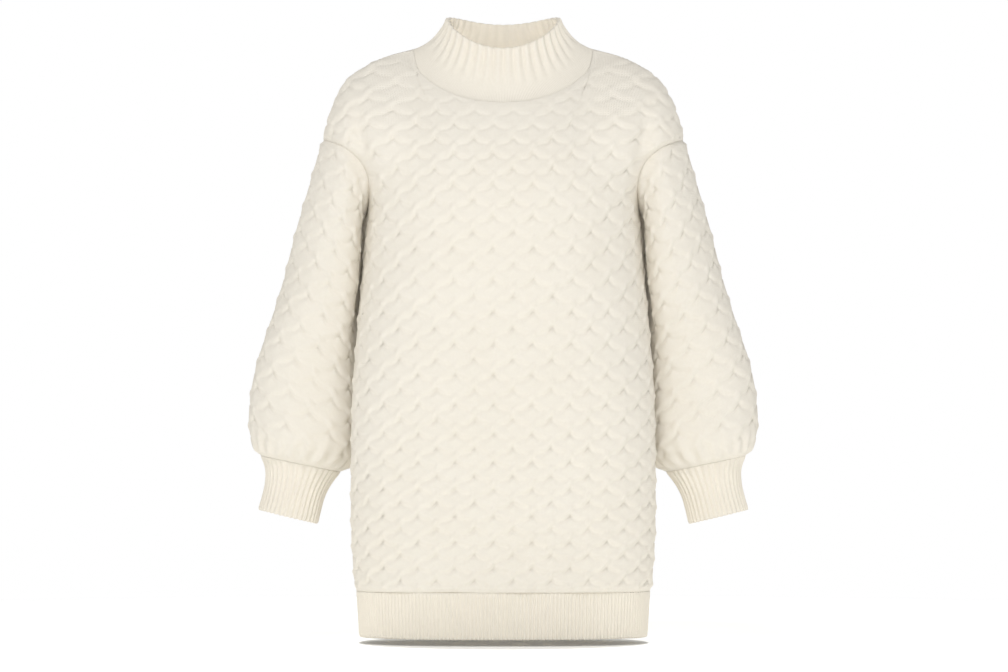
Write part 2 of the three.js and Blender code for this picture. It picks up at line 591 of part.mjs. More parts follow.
// A sleeve for x above 0, from the cuff seam (row 0) up to the armhole (last row).
function sleeve() {
  const solid = new Solid();
  const clothPoint = (i, j, lift) => {
    const at = 1 - j / SLEEVE_ROWS;
    const fromInner = i / SLEEVE_COLUMNS;
    const turn = Math.PI * (1 - 2 * fromInner);
    const p = sleevePoint(at, turn);
    if (j === SLEEVE_ROWS) {
      const face = fromInner <= 0.5 ? "front" : "back";
      const share = fromInner <= 0.5 ? 2 * fromInner : 2 - 2 * fromInner;
      const seam = armholeSeam(share, face);
      return p.addScaledVector(seam.across, SEAM_GAP).addScaledVector(seam.direction, lift);
    }
    const direction = tubeDirection(sleevePoint, at, turn);
    return p.addScaledVector(j === 0 ? acrossCuff(direction) : direction, lift);
  };
  const corner = latticeFaces(solid, SLEEVE_COLUMNS, SLEEVE_ROWS, clothPoint, true);
  const ring = (make) => {
    const made = Array.from({ length: SLEEVE_COLUMNS }, (_, i) => make(i));
    return [...made, made[0]];
  };
  const allRows = Array.from({ length: SLEEVE_ROWS + 1 }, (_, j) => j);
  const rowNumbers = allRows.filter((j) => j > SLEEVE_ROWS - FINE_INNER_ROWS || j % 2 === 0);
  const inner = rowNumbers.map((j) => ring((i) => solid.vertex(clothPoint(i, j, CELL_FLOOR - WALL))));
  solid.grid(inner, { inwards: true, rowNumbers });
  solid.rim(ring((i) => corner(i, 0)), inner[0]);
  const topOuter = ring((i) => corner(i, SLEEVE_ROWS)).reverse();
  const topInner = inner.at(-1).slice().reverse();
  solid.rim(topOuter.slice(0, YOKE_ROWS + 1), topInner.slice(0, YOKE_ROWS + 1));
  solid.rim(topOuter.slice(YOKE_ROWS), topInner.slice(YOKE_ROWS), { backwards: true });
  return solid;
}
// Down along the cuff, square to its seam, and the part of a direction that runs across it.
function downCuff() {
  const seam = CUFF_SECTIONS[0];
  return new THREE.Vector3(seam.outZ - seam.inZ, 0, seam.inX - seam.outX).normalize();
}
function acrossCuff(direction) {
  const axis = downCuff();
  return direction.addScaledVector(axis, -direction.dot(axis)).normalize();
}

// A ribbed wall: point(a, b) and direction(a, b) give the cloth, with a from 0 to 1 across the ribs and b
// from 0 to 1 up them. lift(rib, b) is the height of a groove (rib 0) or a rib (rib 1).
// lowerRim lists how the lower rim is split: from, to and whether it is walked backwards.
function ribbedWall({ ribs, levels, innerColumns, closed, point, direction, lift, lowerRim }) {
  const solid = new Solid();
  const columns = 2 * ribs;
  const row = (count, b, liftOf) => {
    const made = [];
    for (let i = 0; i < (closed ? count : count + 1); i++) {
      const a = i / count;
      made.push(solid.vertex(point(a, b).addScaledVector(direction(a, b), liftOf(i, b))));
    }
    return closed ? [...made, made[0]] : made;
  };
  const heights = Array.from({ length: levels + 1 }, (_, k) => k / levels);
  const outer = heights.map((b) => row(columns, b, (i) => lift(i % 2, b)));
  const inner = heights.map((b) => row(innerColumns, b, () => CELL_FLOOR - WALL));
  solid.grid(outer);
  solid.grid(inner, { inwards: true });
  for (const [from, to, backwards] of lowerRim ?? [[0, 1, false]]) {
    const part = (edge) => edge.slice(from * (edge.length - 1), to * (edge.length - 1) + 1);
    solid.rim(part(outer[0]), part(inner[0]), { backwards });
  }
  solid.rim(outer[levels].slice().reverse(), inner[levels].slice().reverse());
  if (!closed) {
    solid.rim(
      outer.map((r) => r.at(-1)),
      inner.map((r) => r.at(-1)),
    );
    solid.rim(outer.map((r) => r[0]).reverse(), inner.map((r) => r[0]).reverse());
  }
  return solid;
}

function hemBand(face) {
  const turned = face === "front" ? 1 : -1;
  const gapY = face === "front" ? -SEAM_GAP / 2 : SEAM_GAP / 2;
  const heightAt = (b) => mix(HEM_Z, HEM_SEAM_Z - SEAM_GAP, b);
  const shareAt = (a) => turned * (2 * a - 1);
  const surface = (share, b) => {
    const p = bodyRing(heightAt(b), face)(Math.abs(share));
    p.x *= Math.sign(share) || 1;
    return p;
  };
  return ribbedWall({
    ribs: HEM_RIBS,
    levels: 1,
    innerColumns: 2 * PANEL_COLUMNS,
    closed: false,
    point: (a, b) => {
      const p = surface(shareAt(a), b);
      if (a === 0 || a === 1) p.y += gapY;
      return p;
    },
    direction: (a, b) => {
      const share = shareAt(a);
      if (Math.abs(share) === 1) return new THREE.Vector3(share, 0, 0);
      const away = outward(surface, share, b, HEM_STEP.share, HEM_STEP.height, 1).multiplyScalar(turned);
      return away.setZ(0).normalize();
    },
    lift: (rib) => CELL_FLOOR + rib * HEM_RIB_RELIEF,
  });
}

function cuff() {
  const surface = (at, turn) => tubePoint(CUFF_SECTIONS, at, turn);
  const seamShift = downCuff().multiplyScalar(SEAM_GAP);
  return ribbedWall({
    ribs: CUFF_RIBS,
    levels: 4,
    innerColumns: CUFF_RIBS / 2,
    closed: true,
    point: (a, b) => surface(1 - b, Math.PI * (1 - 2 * a)).addScaledVector(seamShift, b),
    direction: (a, b) => acrossCuff(tubeDirection(surface, 1 - b, Math.PI * (1 - 2 * a))),
    lift: (rib) => CELL_FLOOR + rib * CUFF_RIB_RELIEF,
  });
}

// The neckband. a runs once round from the centre back, seen from outside to the right, and b upwards.
function neckband() {
  const seamSteps = 4 * NECK_COLUMNS; // it is sewn to the panels from lattice column to lattice column
  const atSeam = (read) => (a) => {
    const k = Math.floor(a * seamSteps);
    const corner = (n) => roundNeck((((n + seamSteps) % seamSteps) * 4) / seamSteps, read);
    return corner(k).lerp(corner(k + 1), a * seamSteps - k);
  };
  const seamPoint = atSeam(neckline);
  const seamDirection = atSeam(necklineDirection);
  const topPoint = (a) => {
    const angle = 2 * Math.PI * a; // 0 at the centre back
    const centreY = Math.cos(angle) > 0 ? NECK_TOP.backY : NECK_TOP.frontY;
    return new THREE.Vector3(
      -NECK_TOP.halfWidth * Math.sin(angle),
      mix(NECK_TOP.sideY, centreY, Math.abs(Math.cos(angle))),
      NECK_TOP.mean - NECK_TOP.tilt * Math.cos(angle) + NECK_TOP.saddle * Math.cos(2 * angle),
    );
  };
  const point = (a, b) => {
    const [seam, top] = [seamPoint(a), topPoint(a)];
    const inward = 1 - (1 - b) ** NECK_FLARE.inward;
    const height = mix(seam.z, top.z, b ** NECK_FLARE.upward);
    const p = new THREE.Vector3(mix(seam.x, top.x, inward), mix(seam.y, top.y, inward), height);
    const alongSeam = seamPoint(a + NECK_STEP.around).sub(seamPoint(a - NECK_STEP.around));
    const offSeam = seamDirection(a).cross(alongSeam).normalize();
    return p.addScaledVector(offSeam, SEAM_GAP * (1 - b));
  };
  const direction = (a, b) => {
    if (b === 0) return seamDirection(a);
    const around = point(a + NECK_STEP.around, b).sub(point(a - NECK_STEP.around, b));
    const up = point(a, Math.min(1, b + NECK_STEP.up)).sub(point(a, b - NECK_STEP.up));
    return around.cross(up).normalize();
  };
  return ribbedWall({
    ribs: NECK_RIBS,
    levels: 4,
    innerColumns: seamSteps,
    closed: true,
    point,
    direction,
    lift: (rib, b) => (b === 0 ? 0 : CELL_FLOOR + rib * NECK_RIB_RELIEF * mix(NECK_RIB_FADE, 1, b)),
    lowerRim: [
      [0, 0.25, false], // back panel
      [0.25, 0.75, true], // front panel
      [0.75, 1, false], // back panel
    ],
  });
}
// Reads the neckline round its four quarters: back right, front right, front left, back left.
function roundNeck(quarter, read) {
  const part = Math.floor(quarter) % 4;
  const t = quarter - Math.floor(quarter);
  const face = part === 0 || part === 3 ? "back" : "front";
  const p = read(part % 2 === 0 ? t : 1 - t, face);
  if (part < 2) p.x = -p.x;
  return p;
}

const CREAM = 0xf3ead8;
const RIB_CREAM = 0xefe6d2;
const dress = new THREE.Group();
dress.add(
  panel("front").mesh("front_panel", CREAM),
  panel("back").mesh("back_panel", CREAM),
  sleeve().mesh("sleeve_left", CREAM),
  sleeve().mesh("sleeve_right", CREAM, true),
  cuff().mesh("cuff_left", RIB_CREAM),
  cuff().mesh("cuff_right", RIB_CREAM, true),
  neckband().mesh("neckband", RIB_CREAM),
  hemBand("front").mesh("hem_band_front", RIB_CREAM),
  hemBand("back").mesh("hem_band_back", RIB_CREAM),
);

export default dress;
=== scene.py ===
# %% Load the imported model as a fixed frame
import math

import bpy
import numpy as np
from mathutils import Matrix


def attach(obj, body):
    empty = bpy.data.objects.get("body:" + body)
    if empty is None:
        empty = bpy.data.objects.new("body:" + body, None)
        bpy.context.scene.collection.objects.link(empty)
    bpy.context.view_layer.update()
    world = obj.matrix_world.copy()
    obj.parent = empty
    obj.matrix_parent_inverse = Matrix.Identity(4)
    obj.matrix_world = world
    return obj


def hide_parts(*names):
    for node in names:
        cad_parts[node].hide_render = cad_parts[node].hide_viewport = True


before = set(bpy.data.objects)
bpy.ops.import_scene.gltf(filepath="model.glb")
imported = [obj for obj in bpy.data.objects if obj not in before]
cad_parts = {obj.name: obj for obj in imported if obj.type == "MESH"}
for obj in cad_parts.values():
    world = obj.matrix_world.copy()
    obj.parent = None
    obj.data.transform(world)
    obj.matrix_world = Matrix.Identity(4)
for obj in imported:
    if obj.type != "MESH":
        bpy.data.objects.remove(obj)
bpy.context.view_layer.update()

print("frame:", sorted(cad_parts))

# %% [markdown]
# This is a sweater dress knitted in cream wool, filled out as if it were worn. It has a front and a back
# panel, two balloon sleeves set on dropped shoulders, and a ribbed neck, ribbed cuffs and a ribbed hem.
# Knitted cloth isn't a padded form, so nothing is inflated here. Each piece is a thin wall: a fine grid of
# points lies on the same smooth surface as the solid that it replaces, the cables and ribs are pushed out of
# that grid, and a plain inner face closes it. Cloth simulation could drape a flat cut, but it would lose the
# outline of the solids, and a knit this thick hangs in broad curves that named sizes describe better.
#
# The first cell holds a small reader for tables. A table has named columns and one row for each section of
# the dress, in millimetres, and `through` draws a smooth curve through one of its columns.

# %% Tables of sections and smooth curves through them
MM = 0.001


def table(columns, *rows):
    return {name: np.array([row[k] for row in rows], float) for k, name in enumerate(columns.split())}


def through(rows, key, at, column):
    x, y = rows[key], rows[column]
    slope = np.gradient(y, x)
    slope[1:-1] = (y[2:] - y[:-2]) / (x[2:] - x[:-2])
    at = np.asarray(at, float)
    k = np.searchsorted(x[1:-1], at)
    span = x[k + 1] - x[k]
    t = np.clip((at - x[k]) / span, 0, 1)
    ends = (2 * t**3 - 3 * t**2 + 1) * y[k] + (3 * t**2 - 2 * t**3) * y[k + 1]
    return ends + ((t**3 - 2 * t**2 + t) * slope[k] + (t**3 - t**2) * slope[k + 1]) * span


def mix(a, b, t):
    return a + (b - a) * t


def smoothstep(a, b, t):
    s = np.clip((t - a) / (b - a), 0, 1)
    return s * s * (3 - 2 * s)


def xyz(x, y, z):
    return np.stack(np.broadcast_arrays(x, y, z), axis=-1).astype(float)


print("smoothstep halfway:", float(smoothstep(0.0, 1.0, 0.5)))

# %% [markdown]
# The body hangs as a wide, flattened tube. Each height has a ring made of two half ovals, one for the front
# and one for the back, that meet at the side seams. An oval whose exponent is over 2 is squarer than an
# ellipse, and one under 2 is slimmer at its corners, which is where the sleeves press the back in. Walking
# each ring at an even pace keeps the knit's columns equally wide.

# %% Body rings
BODY_RINGS = table(
    "z half_width side_y front_y back_y back_squareness",
    (-810, 199, 0, -116, 113, 2.1),
    (-745, 203, -2, -117, 115, 2.05),
    (-662, 208, -8, -118, 117, 1.9),
    (-552, 208, -13, -120, 114, 1.75),
    (-469, 206, -10, -121, 107, 1.7),
    (-386, 200, 6, -123, 99, 1.7),
    (-304, 193, 20, -126, 98, 1.8),
    (-225, 189, 22, -127, 103, 1.9),
)
FRONT_SQUARENESS = 2.35
HEM_Z, HEM_SEAM_Z, UNDERARM_Z = -810, -745, -225
PACE_STEPS = 96


def squareness(z, face):
    return FRONT_SQUARENESS + 0 * z if face == "front" else through(BODY_RINGS, "z", z, "back_squareness")


def walk(points, share):
    """A place on each of many curves, given as (..., steps, 3), at an even pace."""
    points = np.broadcast_to(points, (*np.shape(share), *points.shape[-2:]))
    run = np.cumsum(np.linalg.norm(np.diff(points, axis=-2), axis=-1), axis=-1)
    run = np.concatenate([np.zeros_like(run[..., :1]), run], axis=-1)
    goal = np.asarray(share)[..., None] * run[..., -1:]
    k = (run[..., 1:-1] < goal).sum(-1, keepdims=True)
    before, after = np.take_along_axis(run, k, -1), np.take_along_axis(run, k + 1, -1)
    low = np.take_along_axis(points, k[..., None], -2)[..., 0, :]
    high = np.take_along_axis(points, k[..., None] + 1, -2)[..., 0, :]
    return mix(low, high, (goal - before) / np.maximum(after - before, 1e-9))


def body_point(z, out, face):
    z, out = np.broadcast_arrays(np.asarray(z, float), np.asarray(out, float))
    half_width, side_y, centre_y = (
        through(BODY_RINGS, "z", z, c)[..., None] for c in ("half_width", "side_y", face + "_y")
    )
    power = 2 / squareness(z, face)[..., None]
    turn = np.linspace(0, math.pi / 2, PACE_STEPS + 1)
    y = side_y + (centre_y - side_y) * np.maximum(np.cos(turn), 0) ** power
    return walk(xyz(half_width * np.sin(turn) ** power, y, z[..., None]), out)


print("half the hem's front edge:", body_point(HEM_Z, np.array([0.0, 0.5, 1.0]), "front").round(1).tolist())

# %% [markdown]
# A sleeve and its cuff are slanting tubes. Each section gives its outer and inner edge as seen from the
# front, and how deep it is to the front and to the back. The sleeve swells to a balloon above the cuff and
# lies against the body on its inner side, a few millimetres clear of it. Between body and sleeve, the cloth
# folds in to a deep crease in front of and behind the armpit.

# %% Sleeve and cuff sections, and the crease at the armpit
SLEEVE_SECTIONS = table(
    "at out_x out_z in_x in_z mid_y front back saddle",
    (0, 249, -124, 189, -225, 22, 76, 68, 29.6),
    (0.11, 260.5, -165, 186, -262, 28, 76, 68, 14),
    (0.25, 278.5, -226, 184, -305, 38, 71, 66, 4),
    (0.41, 299, -296, 183, -356, 46, 66, 62, 0),
    (0.57, 319, -363, 184, -410, 50, 62, 60, 0),
    (0.72, 338, -430, 186, -470, 52, 59, 59, 0),
    (0.86, 349.5, -492, 188, -526, 52, 57, 58, 0),
    (0.94, 350.5, -529, 196, -555, 50, 54, 55, 0),
    (0.985, 345.5, -552, 212, -575, 48, 44, 45, 0),
    (1, 337, -560, 225, -583, 47, 35, 36, 0),
)
CUFF_SECTIONS = table(
    "at out_x out_z in_x in_z mid_y front back saddle",
    (0, 337, -560, 225, -583, 47, 35, 36, 0),
    (0.25, 330.5, -578, 238, -600, 46, 29, 29, 0),
    (0.5, 330.5, -597, 247, -617, 45, 26, 26, 0),
    (0.75, 334.5, -616, 252.5, -636, 44, 25, 25, 0),
    (1, 340.5, -636, 257, -656, 43, 26, 26, 0),
)
CREASE_DEPTHS = table(
    "z front back",
    (-345, 0, 0),
    (-290, 8, 6),
    (-225, 15, 10),
    (-156, 15, 10),
    (-105, 6, 3),
    (-65, 0, 0),
)
CREASE_X, CREASE_HALF_WIDTH, CREASE_MIDDLE_Y, CREASE_FADE_Y = 194, 18, 20, 40
SLEEVE_CLEARANCE, SLEEVE_SOFTNESS = 8, 16


def creased(p):
    x, y, z = p[..., 0], p[..., 1], p[..., 2]
    in_front = y < CREASE_MIDDLE_Y
    depths = [through(CREASE_DEPTHS, "z", z, c) for c in ("front", "back")]
    across = (np.abs(x) - CREASE_X) / CREASE_HALF_WIDTH
    pull = np.where(in_front, depths[0], -depths[1]) * np.exp(-(across**2))
    return xyz(x, y + pull * smoothstep(0, CREASE_FADE_Y, np.abs(y - CREASE_MIDDLE_Y)), z)


def tube_point(sections, at, turn):
    row = {c: through(sections, "at", at, c) for c in sections}
    reach_x, reach_z = (row["out_x"] - row["in_x"]) / 2, (row["out_z"] - row["in_z"]) / 2
    lean = row["saddle"] * np.sin(turn) ** 2 / np.hypot(reach_x, reach_z)
    depth = np.where(np.sin(turn) > 0, row["front"], row["back"])
    return xyz(
        (row["out_x"] + row["in_x"]) / 2 + reach_x * np.cos(turn) - reach_z * lean,
        row["mid_y"] - depth * np.sin(turn),
        (row["out_z"] + row["in_z"]) / 2 + reach_z * np.cos(turn) + reach_x * lean,
    )


def body_half_width(y, z):
    height = np.minimum(z, UNDERARM_Z)
    side_y, half_width = (through(BODY_RINGS, "z", height, c) for c in ("side_y", "half_width"))
    in_front = y < side_y
    centre_y = np.where(in_front, *(through(BODY_RINGS, "z", height, c) for c in ("front_y", "back_y")))
    power = np.where(in_front, FRONT_SQUARENESS, squareness(height, "back"))
    share = np.clip(np.abs((y - side_y) / (centre_y - side_y)), 0, 1)
    return half_width * (1 - share**power) ** (1 / power)


def sleeve_point(at, turn):
    p = creased(tube_point(SLEEVE_SECTIONS, at, turn))
    away = body_half_width(p[..., 1], p[..., 2]) + SLEEVE_CLEARANCE
    h = np.clip(0.5 + 0.5 * (p[..., 0] - away) / SLEEVE_SOFTNESS, 0, 1)
    kept_off = mix(away, p[..., 0], h) + SLEEVE_SOFTNESS * h * (1 - h)
    free = smoothstep(0, 0.05, at) * smoothstep(1, 0.97, at)
    return xyz(mix(p[..., 0], kept_off, free), p[..., 1], p[..., 2])


def armhole_turn(share, face):
    return math.pi * (1 - share) * (1 if face == "front" else -1)


print("armhole at the shoulder:", sleeve_point(0.0, np.array([0.0])).round(1).tolist())

# %% [markdown]
# Above the underarm each panel becomes the yoke. It is easiest to shape as if it had no holes: one curved
# sheet from the chest up to the shoulder line. The armhole and the neckline are then found as cuts in that
# sheet, and the knit's rows and columns are spread between the cuts. A cut's place is found by closing in on
# it: the search tries the eight places round the best one so far, and shortens its reach.

# %% The yoke and its cuts
PANEL_COLUMNS, LOWER_ROWS, YOKE_ROWS, NECK_COLUMNS = 20, 26, 8, 5
TOP_ROW = LOWER_ROWS + YOKE_ROWS
NECK_SHARE = 2 * NECK_COLUMNS / PANEL_COLUMNS
SHOULDER_RIDGE = table(
    "index x y z",
    (0, 126, 10, 2),
    (1, 159, 12, -7),
    (2, 188, 15, -20),
    (3, 215, 18, -40),
    (4, 232.5, 20, -68),
    (5, 242, 21, -97),
    (6, 249, 22, -124),
)
YOKE_CREST = (0, 6, 16)
NECKLINE_Z = {"front": -75, "back": -14}
FULLNESS = {"front": 1.6, "back": 1.15}
ARM_FULLNESS = 1.15
ridge_curve = xyz(*(through(SHOULDER_RIDGE, "index", np.linspace(0, 6, 97), c) for c in "xyz"))


def shoulder_line(out):
    at = np.clip((out - NECK_SHARE) / (1 - NECK_SHARE), 0, 1)
    beyond = walk(ridge_curve, at)
    inwards = np.clip(1 - out / NECK_SHARE, 0, 1)
    ends = [mix(ridge_curve[0][k], YOKE_CREST[k], inwards) for k in (0, 1)]
    over_neck = xyz(*ends, mix(ridge_curve[0][2], YOKE_CREST[2], inwards * (2 - inwards)))
    return np.where((out > NECK_SHARE)[..., None], beyond, over_neck)


def yoke_point(out, rise, face):
    out, rise = np.broadcast_arrays(np.asarray(out, float), np.asarray(rise, float))
    low, high = body_point(UNDERARM_Z, out, face), shoulder_line(out)
    turn = math.pi / 2 * rise
    fullness = mix(FULLNESS[face], ARM_FULLNESS, smoothstep(NECK_SHARE, 1, out))
    return xyz(
        mix(low[..., 0], high[..., 0], smoothstep(0, 1, rise)),
        mix(high[..., 1], low[..., 1], np.maximum(0, np.cos(turn)) ** fullness),
        mix(low[..., 2], high[..., 2], np.sin(turn)),
    )


def nearest_place(target, face, start, axes):
    best, reach = np.array(start, float), 0.3
    around = np.array([(0, 0)] + [(a, b) for a in (-1, 0, 1) for b in (-1, 0, 1)])
    while reach > 1e-4:
        tries = np.clip(best + around * reach, 0, 1)
        miss = yoke_point(tries[:, 0], tries[:, 1], face)[:, axes] - target[axes]
        best, reach = tries[np.argmin(np.linalg.norm(miss, axis=1))], reach * 0.7
    return best


def armhole_cut(face):
    rows = []
    for share in np.linspace(0, 1, YOKE_ROWS + 1):
        target = tube_point(SLEEVE_SECTIONS, 0.0, armhole_turn(share, face))
        end = share in (0, 1)
        out, rise = (1, share) if end else nearest_place(target, face, (0.8, 0.5), [0, 1, 2])
        rows.append((share, out, rise))
    return table("share out rise", *rows)


def neckline_cut(face):
    rows = []
    for share in np.linspace(0, 1, NECK_COLUMNS + 1):
        turn = share * math.pi / 2
        z = mix(ridge_curve[0][2], NECKLINE_Z[face], math.cos(turn))
        target = np.array([ridge_curve[0][0] * math.sin(turn), 0, z])
        end = share == 1
        out, rise = (NECK_SHARE, 1) if end else nearest_place(target, face, (share * NECK_SHARE, 0.8), [0, 2])
        rows.append((share, out, rise))
    return table("share out rise", *rows)


ARMHOLE_CUT = {face: armhole_cut(face) for face in ("front", "back")}
NECKLINE_CUT = {face: neckline_cut(face) for face in ("front", "back")}
print("neckline in the front yoke:", NECKLINE_CUT["front"]["rise"].round(3).tolist())

# %% [markdown]
# A place on a panel is named by its share, from one side seam (-1) to the other (1), and by its row, from
# the hem band up. Below the underarm that is a place on a body ring, and above it a place in the yoke. Along
# the armhole the panel is pulled onto the sleeve's own edge, so the two walls meet without a slit.

# %% A place on a panel
DIP, DIP_FROM, ARMHOLE_PULL, LEVEL_POWER = 26, 0.55, 0.5, 3
SPREAD, SPREAD_REACH = 0.02, 0.3


def underarm_dip(out):
    return DIP * (1 - smoothstep(DIP_FROM, 1, out))


def yoke_place(out, up, face):
    """Where a panel's grid lies in the uncut yoke, from the underarm (up 0) to the shoulder (up 1)."""
    side = {c: through(ARMHOLE_CUT[face], "share", up, c) for c in ("out", "rise")}
    top = {c: through(NECKLINE_CUT[face], "share", np.minimum(1, out / NECK_SHARE), c) for c in ("out", "rise")}
    level_rise = mix(NECKLINE_CUT[face]["rise"][0], 1, smoothstep(0, 1, out))
    beside = np.maximum(0, 1 - np.abs(out - NECK_SHARE) / SPREAD_REACH) ** 2
    spread = SPREAD * beside * smoothstep(0.2, 0.85, up) * smoothstep(1, 0.85, up)
    top_out = np.where(out < NECK_SHARE, top["out"], out)
    place_out = out * side["out"] + up**2 * (top_out - out) + spread
    place_rise = up * mix(level_rise, top["rise"], up**LEVEL_POWER) + out**2 * (side["rise"] - up)
    return np.clip(place_out, 0, 1), np.clip(place_rise, 0, 1)


def panel_point(share, row, face):
    share, row = np.broadcast_arrays(np.asarray(share, float), np.asarray(row, float))
    out, up = np.abs(share), np.clip((row - LOWER_ROWS) / YOKE_ROWS, 0, 1)
    underarm_z = UNDERARM_Z - underarm_dip(out)
    low = body_point(mix(HEM_SEAM_Z, underarm_z, np.clip(row / LOWER_ROWS, 0, 1)), out, face)
    high = yoke_point(*yoke_place(out, up, face), face)
    high[..., 2] -= underarm_dip(out) * (1 - up) ** 2
    edge = yoke_point(*yoke_place(np.ones_like(up), up, face), face)
    at_sleeve = tube_point(SLEEVE_SECTIONS, 0.0, armhole_turn(up, face))
    high += (at_sleeve - edge) * smoothstep(ARMHOLE_PULL, 1, out)[..., None]
    p = creased(np.where((row > LOWER_ROWS)[..., None], high, low))
    p[..., 0] *= np.where(share < 0, -1, 1)
    return p


print("front neck point:", panel_point(NECK_SHARE, TOP_ROW, "front").round(1).tolist())

# %% [markdown]
# Every piece is a wall between two grids of points. The outer grid is fine, with points about 2 mm apart, so
# that the cables come out as real relief and not only as shading. The inner grid is plain and coarser, and
# a rim of long faces joins the two where the cloth ends or is sewn. UVs are written in metres of knitted
# cloth, so that the stitch pattern of the material can be given its true size.

# %% A wall of cloth from two grids
KNIT_WALL, RELIEF_FLOOR = 3, -2  # millimetres: cloth between cables, and the lattice floor below the mean face
SEAM_LEVEL = -0.8  # the outer face at a sewn edge


def unit(v):
    return v / np.maximum(np.linalg.norm(v, axis=-1, keepdims=True), 1e-12)


def normals(grid, closed=False):
    if closed:
        ring = np.concatenate([grid[:, -2:-1], grid, grid[:, 1:2]], axis=1)
        across = (ring[:, 2:] - ring[:, :-2]) / 2
    else:
        across = np.gradient(grid, axis=1)
    return unit(np.cross(across, np.gradient(grid, axis=0)))


def wall(name, outer, inner, uv, closed=False):
    """Rows run up and columns to the right, seen from outside. In a closed wall the last column is the first.

    The faces of the rim are flat, so that they don't bend the shading of the outer face beside a seam.
    """
    (rows, columns), (few_rows, few_columns) = outer.shape[:2], inner.shape[:2]
    step_row, step_column = (rows - 1) // (few_rows - 1), (columns - 1) // (few_columns - 1)
    keep = (lambda g: g[:, :-1]) if closed else (lambda g: g)
    counts = [keep(outer).shape[1], keep(inner).shape[1]]
    points = np.concatenate([keep(outer).reshape(-1, 3), keep(inner).reshape(-1, 3)]) * MM
    fine = np.arange(rows)[:, None] * counts[0] + np.arange(columns)[None, :] % counts[0]
    plain = np.arange(few_rows)[:, None] * counts[1] + np.arange(few_columns)[None, :] % counts[1]
    plain = plain + rows * counts[0]

    def quads(index):
        return np.stack([index[:-1, :-1], index[:-1, 1:], index[1:, 1:], index[1:, :-1]], -1).reshape(-1, 4)

    faces = quads(fine).tolist() + quads(plain)[:, ::-1].tolist()
    places = np.stack(np.meshgrid(np.arange(columns), np.arange(rows)), -1)
    corner = quads(np.arange(rows * columns).reshape(rows, columns))
    few = quads(np.arange(few_rows * few_columns).reshape(few_rows, few_columns))[:, ::-1]
    few_uv = uv[::step_row, ::step_column].reshape(-1, 2)
    loops = [uv.reshape(-1, 2)[corner.ravel()], few_uv[few.ravel()]]
    rims = [(fine[0], plain[0], uv[0], step_column, 1), (fine[-1], plain[-1], uv[-1], step_column, -1)]
    if not closed:
        rims.append((fine[:, -1], plain[:, -1], uv[:, -1], step_row, 1))
        rims.append((fine[:, 0], plain[:, 0], uv[:, 0], step_row, -1))
    smooth = len(faces)
    for far, near, edge_uv, step, way in rims:
        for k in range(len(near) - 1):
            ring = [*far[k * step : (k + 1) * step + 1][::-1], near[k], near[k + 1]]
            places = [*edge_uv[k * step : (k + 1) * step + 1][::-1], edge_uv[k * step], edge_uv[(k + 1) * step]]
            faces.append([int(v) for v in (ring if way > 0 else ring[::-1])])
            loops.append(np.array(places if way > 0 else places[::-1]))
    mesh = bpy.data.meshes.new(name)
    mesh.from_pydata(points.tolist(), [], faces)
    mesh.uv_layers.new(name="cloth").uv.foreach_set("vector", np.concatenate(loops).astype(np.float32).ravel())
    mesh.polygons.foreach_set("use_smooth", np.arange(len(faces)) < smooth)
    mesh.update()
    piece = bpy.data.objects.new(name, mesh)
    bpy.context.scene.collection.objects.link(piece)
    triangles = sum(len(f) - 2 for f in faces)
    print(f"{name}: {triangles} triangles, cloth area {sum(f.area for f in mesh.polygons) / 2:.3f} m2")
    return piece


print("cloth between cables in mm:", KNIT_WALL)

# %% [markdown]
# The cables form a lattice. Cords two or three stitches wide run up to the right and up to the left, and
# where two meet, the one that leans right passes on top. Each cord is steeper at a crossing and flatter
# between crossings, so the pocket below a crossing has a narrow top, like an arch. A narrow groove follows
# that arch, deepest under the cord that passes on top, and the rest of the pocket swells to a soft tongue
# that is almost as high as the cords below.
# The height is worked out from two numbers, the distance to the nearest cord of each kind, so the pattern
# needs no drawing and follows the knit's own rows and columns.

# %% The cable lattice
COLUMN_MM, ROW_MM = 26.5, 20  # half a cell's width and height in the knitted cloth
CORD_HALF = 0.25  # half a cord's width, as a share of the spacing of cords
CORD_WAVE = -0.13  # how far a cord strays from straight between crossings, in rows
CORD_HEIGHT, OVER, UNDER = 4.3, 1.5, 2.4  # millimetres above the floor, at a crossing and under it
POCKET_RISE, ARCH_GROOVE = 3.9, 0.12  # the tongue's height, and the groove's width as a share of the spacing


def lattice(column, row):
    """Height above the lattice floor. A crossing lies where column and row are whole and their sum even."""
    bent = row - CORD_WAVE * np.sin(2 * math.pi * column)
    bent_back = row + CORD_WAVE * np.sin(2 * math.pi * column)
    p, q = (column - bent_back) / 2, (column + bent) / 2
    to_right, to_left = np.abs(p - np.round(p)), np.abs(q - np.round(q))
    profile = lambda d: np.maximum(0, 1 - (d / CORD_HALF) ** 2) ** 0.6
    right = (CORD_HEIGHT + OVER * np.exp(-((to_left / 0.17) ** 2))) * profile(to_right)
    left = (CORD_HEIGHT - UNDER * np.exp(-((to_right / 0.2) ** 2))) * profile(to_left)
    in_p, in_q = p - np.floor(p), q - np.floor(q)
    height, across = in_q - in_p, in_p + in_q - 1
    groove = smoothstep(ARCH_GROOVE, 0, in_p - CORD_HALF) + 0.6 * smoothstep(ARCH_GROOVE, 0, 1 - in_q - CORD_HALF)
    groove = np.minimum(1, groove) * smoothstep(-0.25, 0.4, height)
    pocket = POCKET_RISE * (1 - groove) * np.maximum(0, 1 - 0.5 * across**2)
    return np.maximum(np.maximum(right, left), pocket)


sample = lattice(np.array([0.0, 1.0, 0.5]), np.array([0.0, 0.0, 0.5]))
print("crossing, pocket and cord in mm:", sample.round(2).tolist())

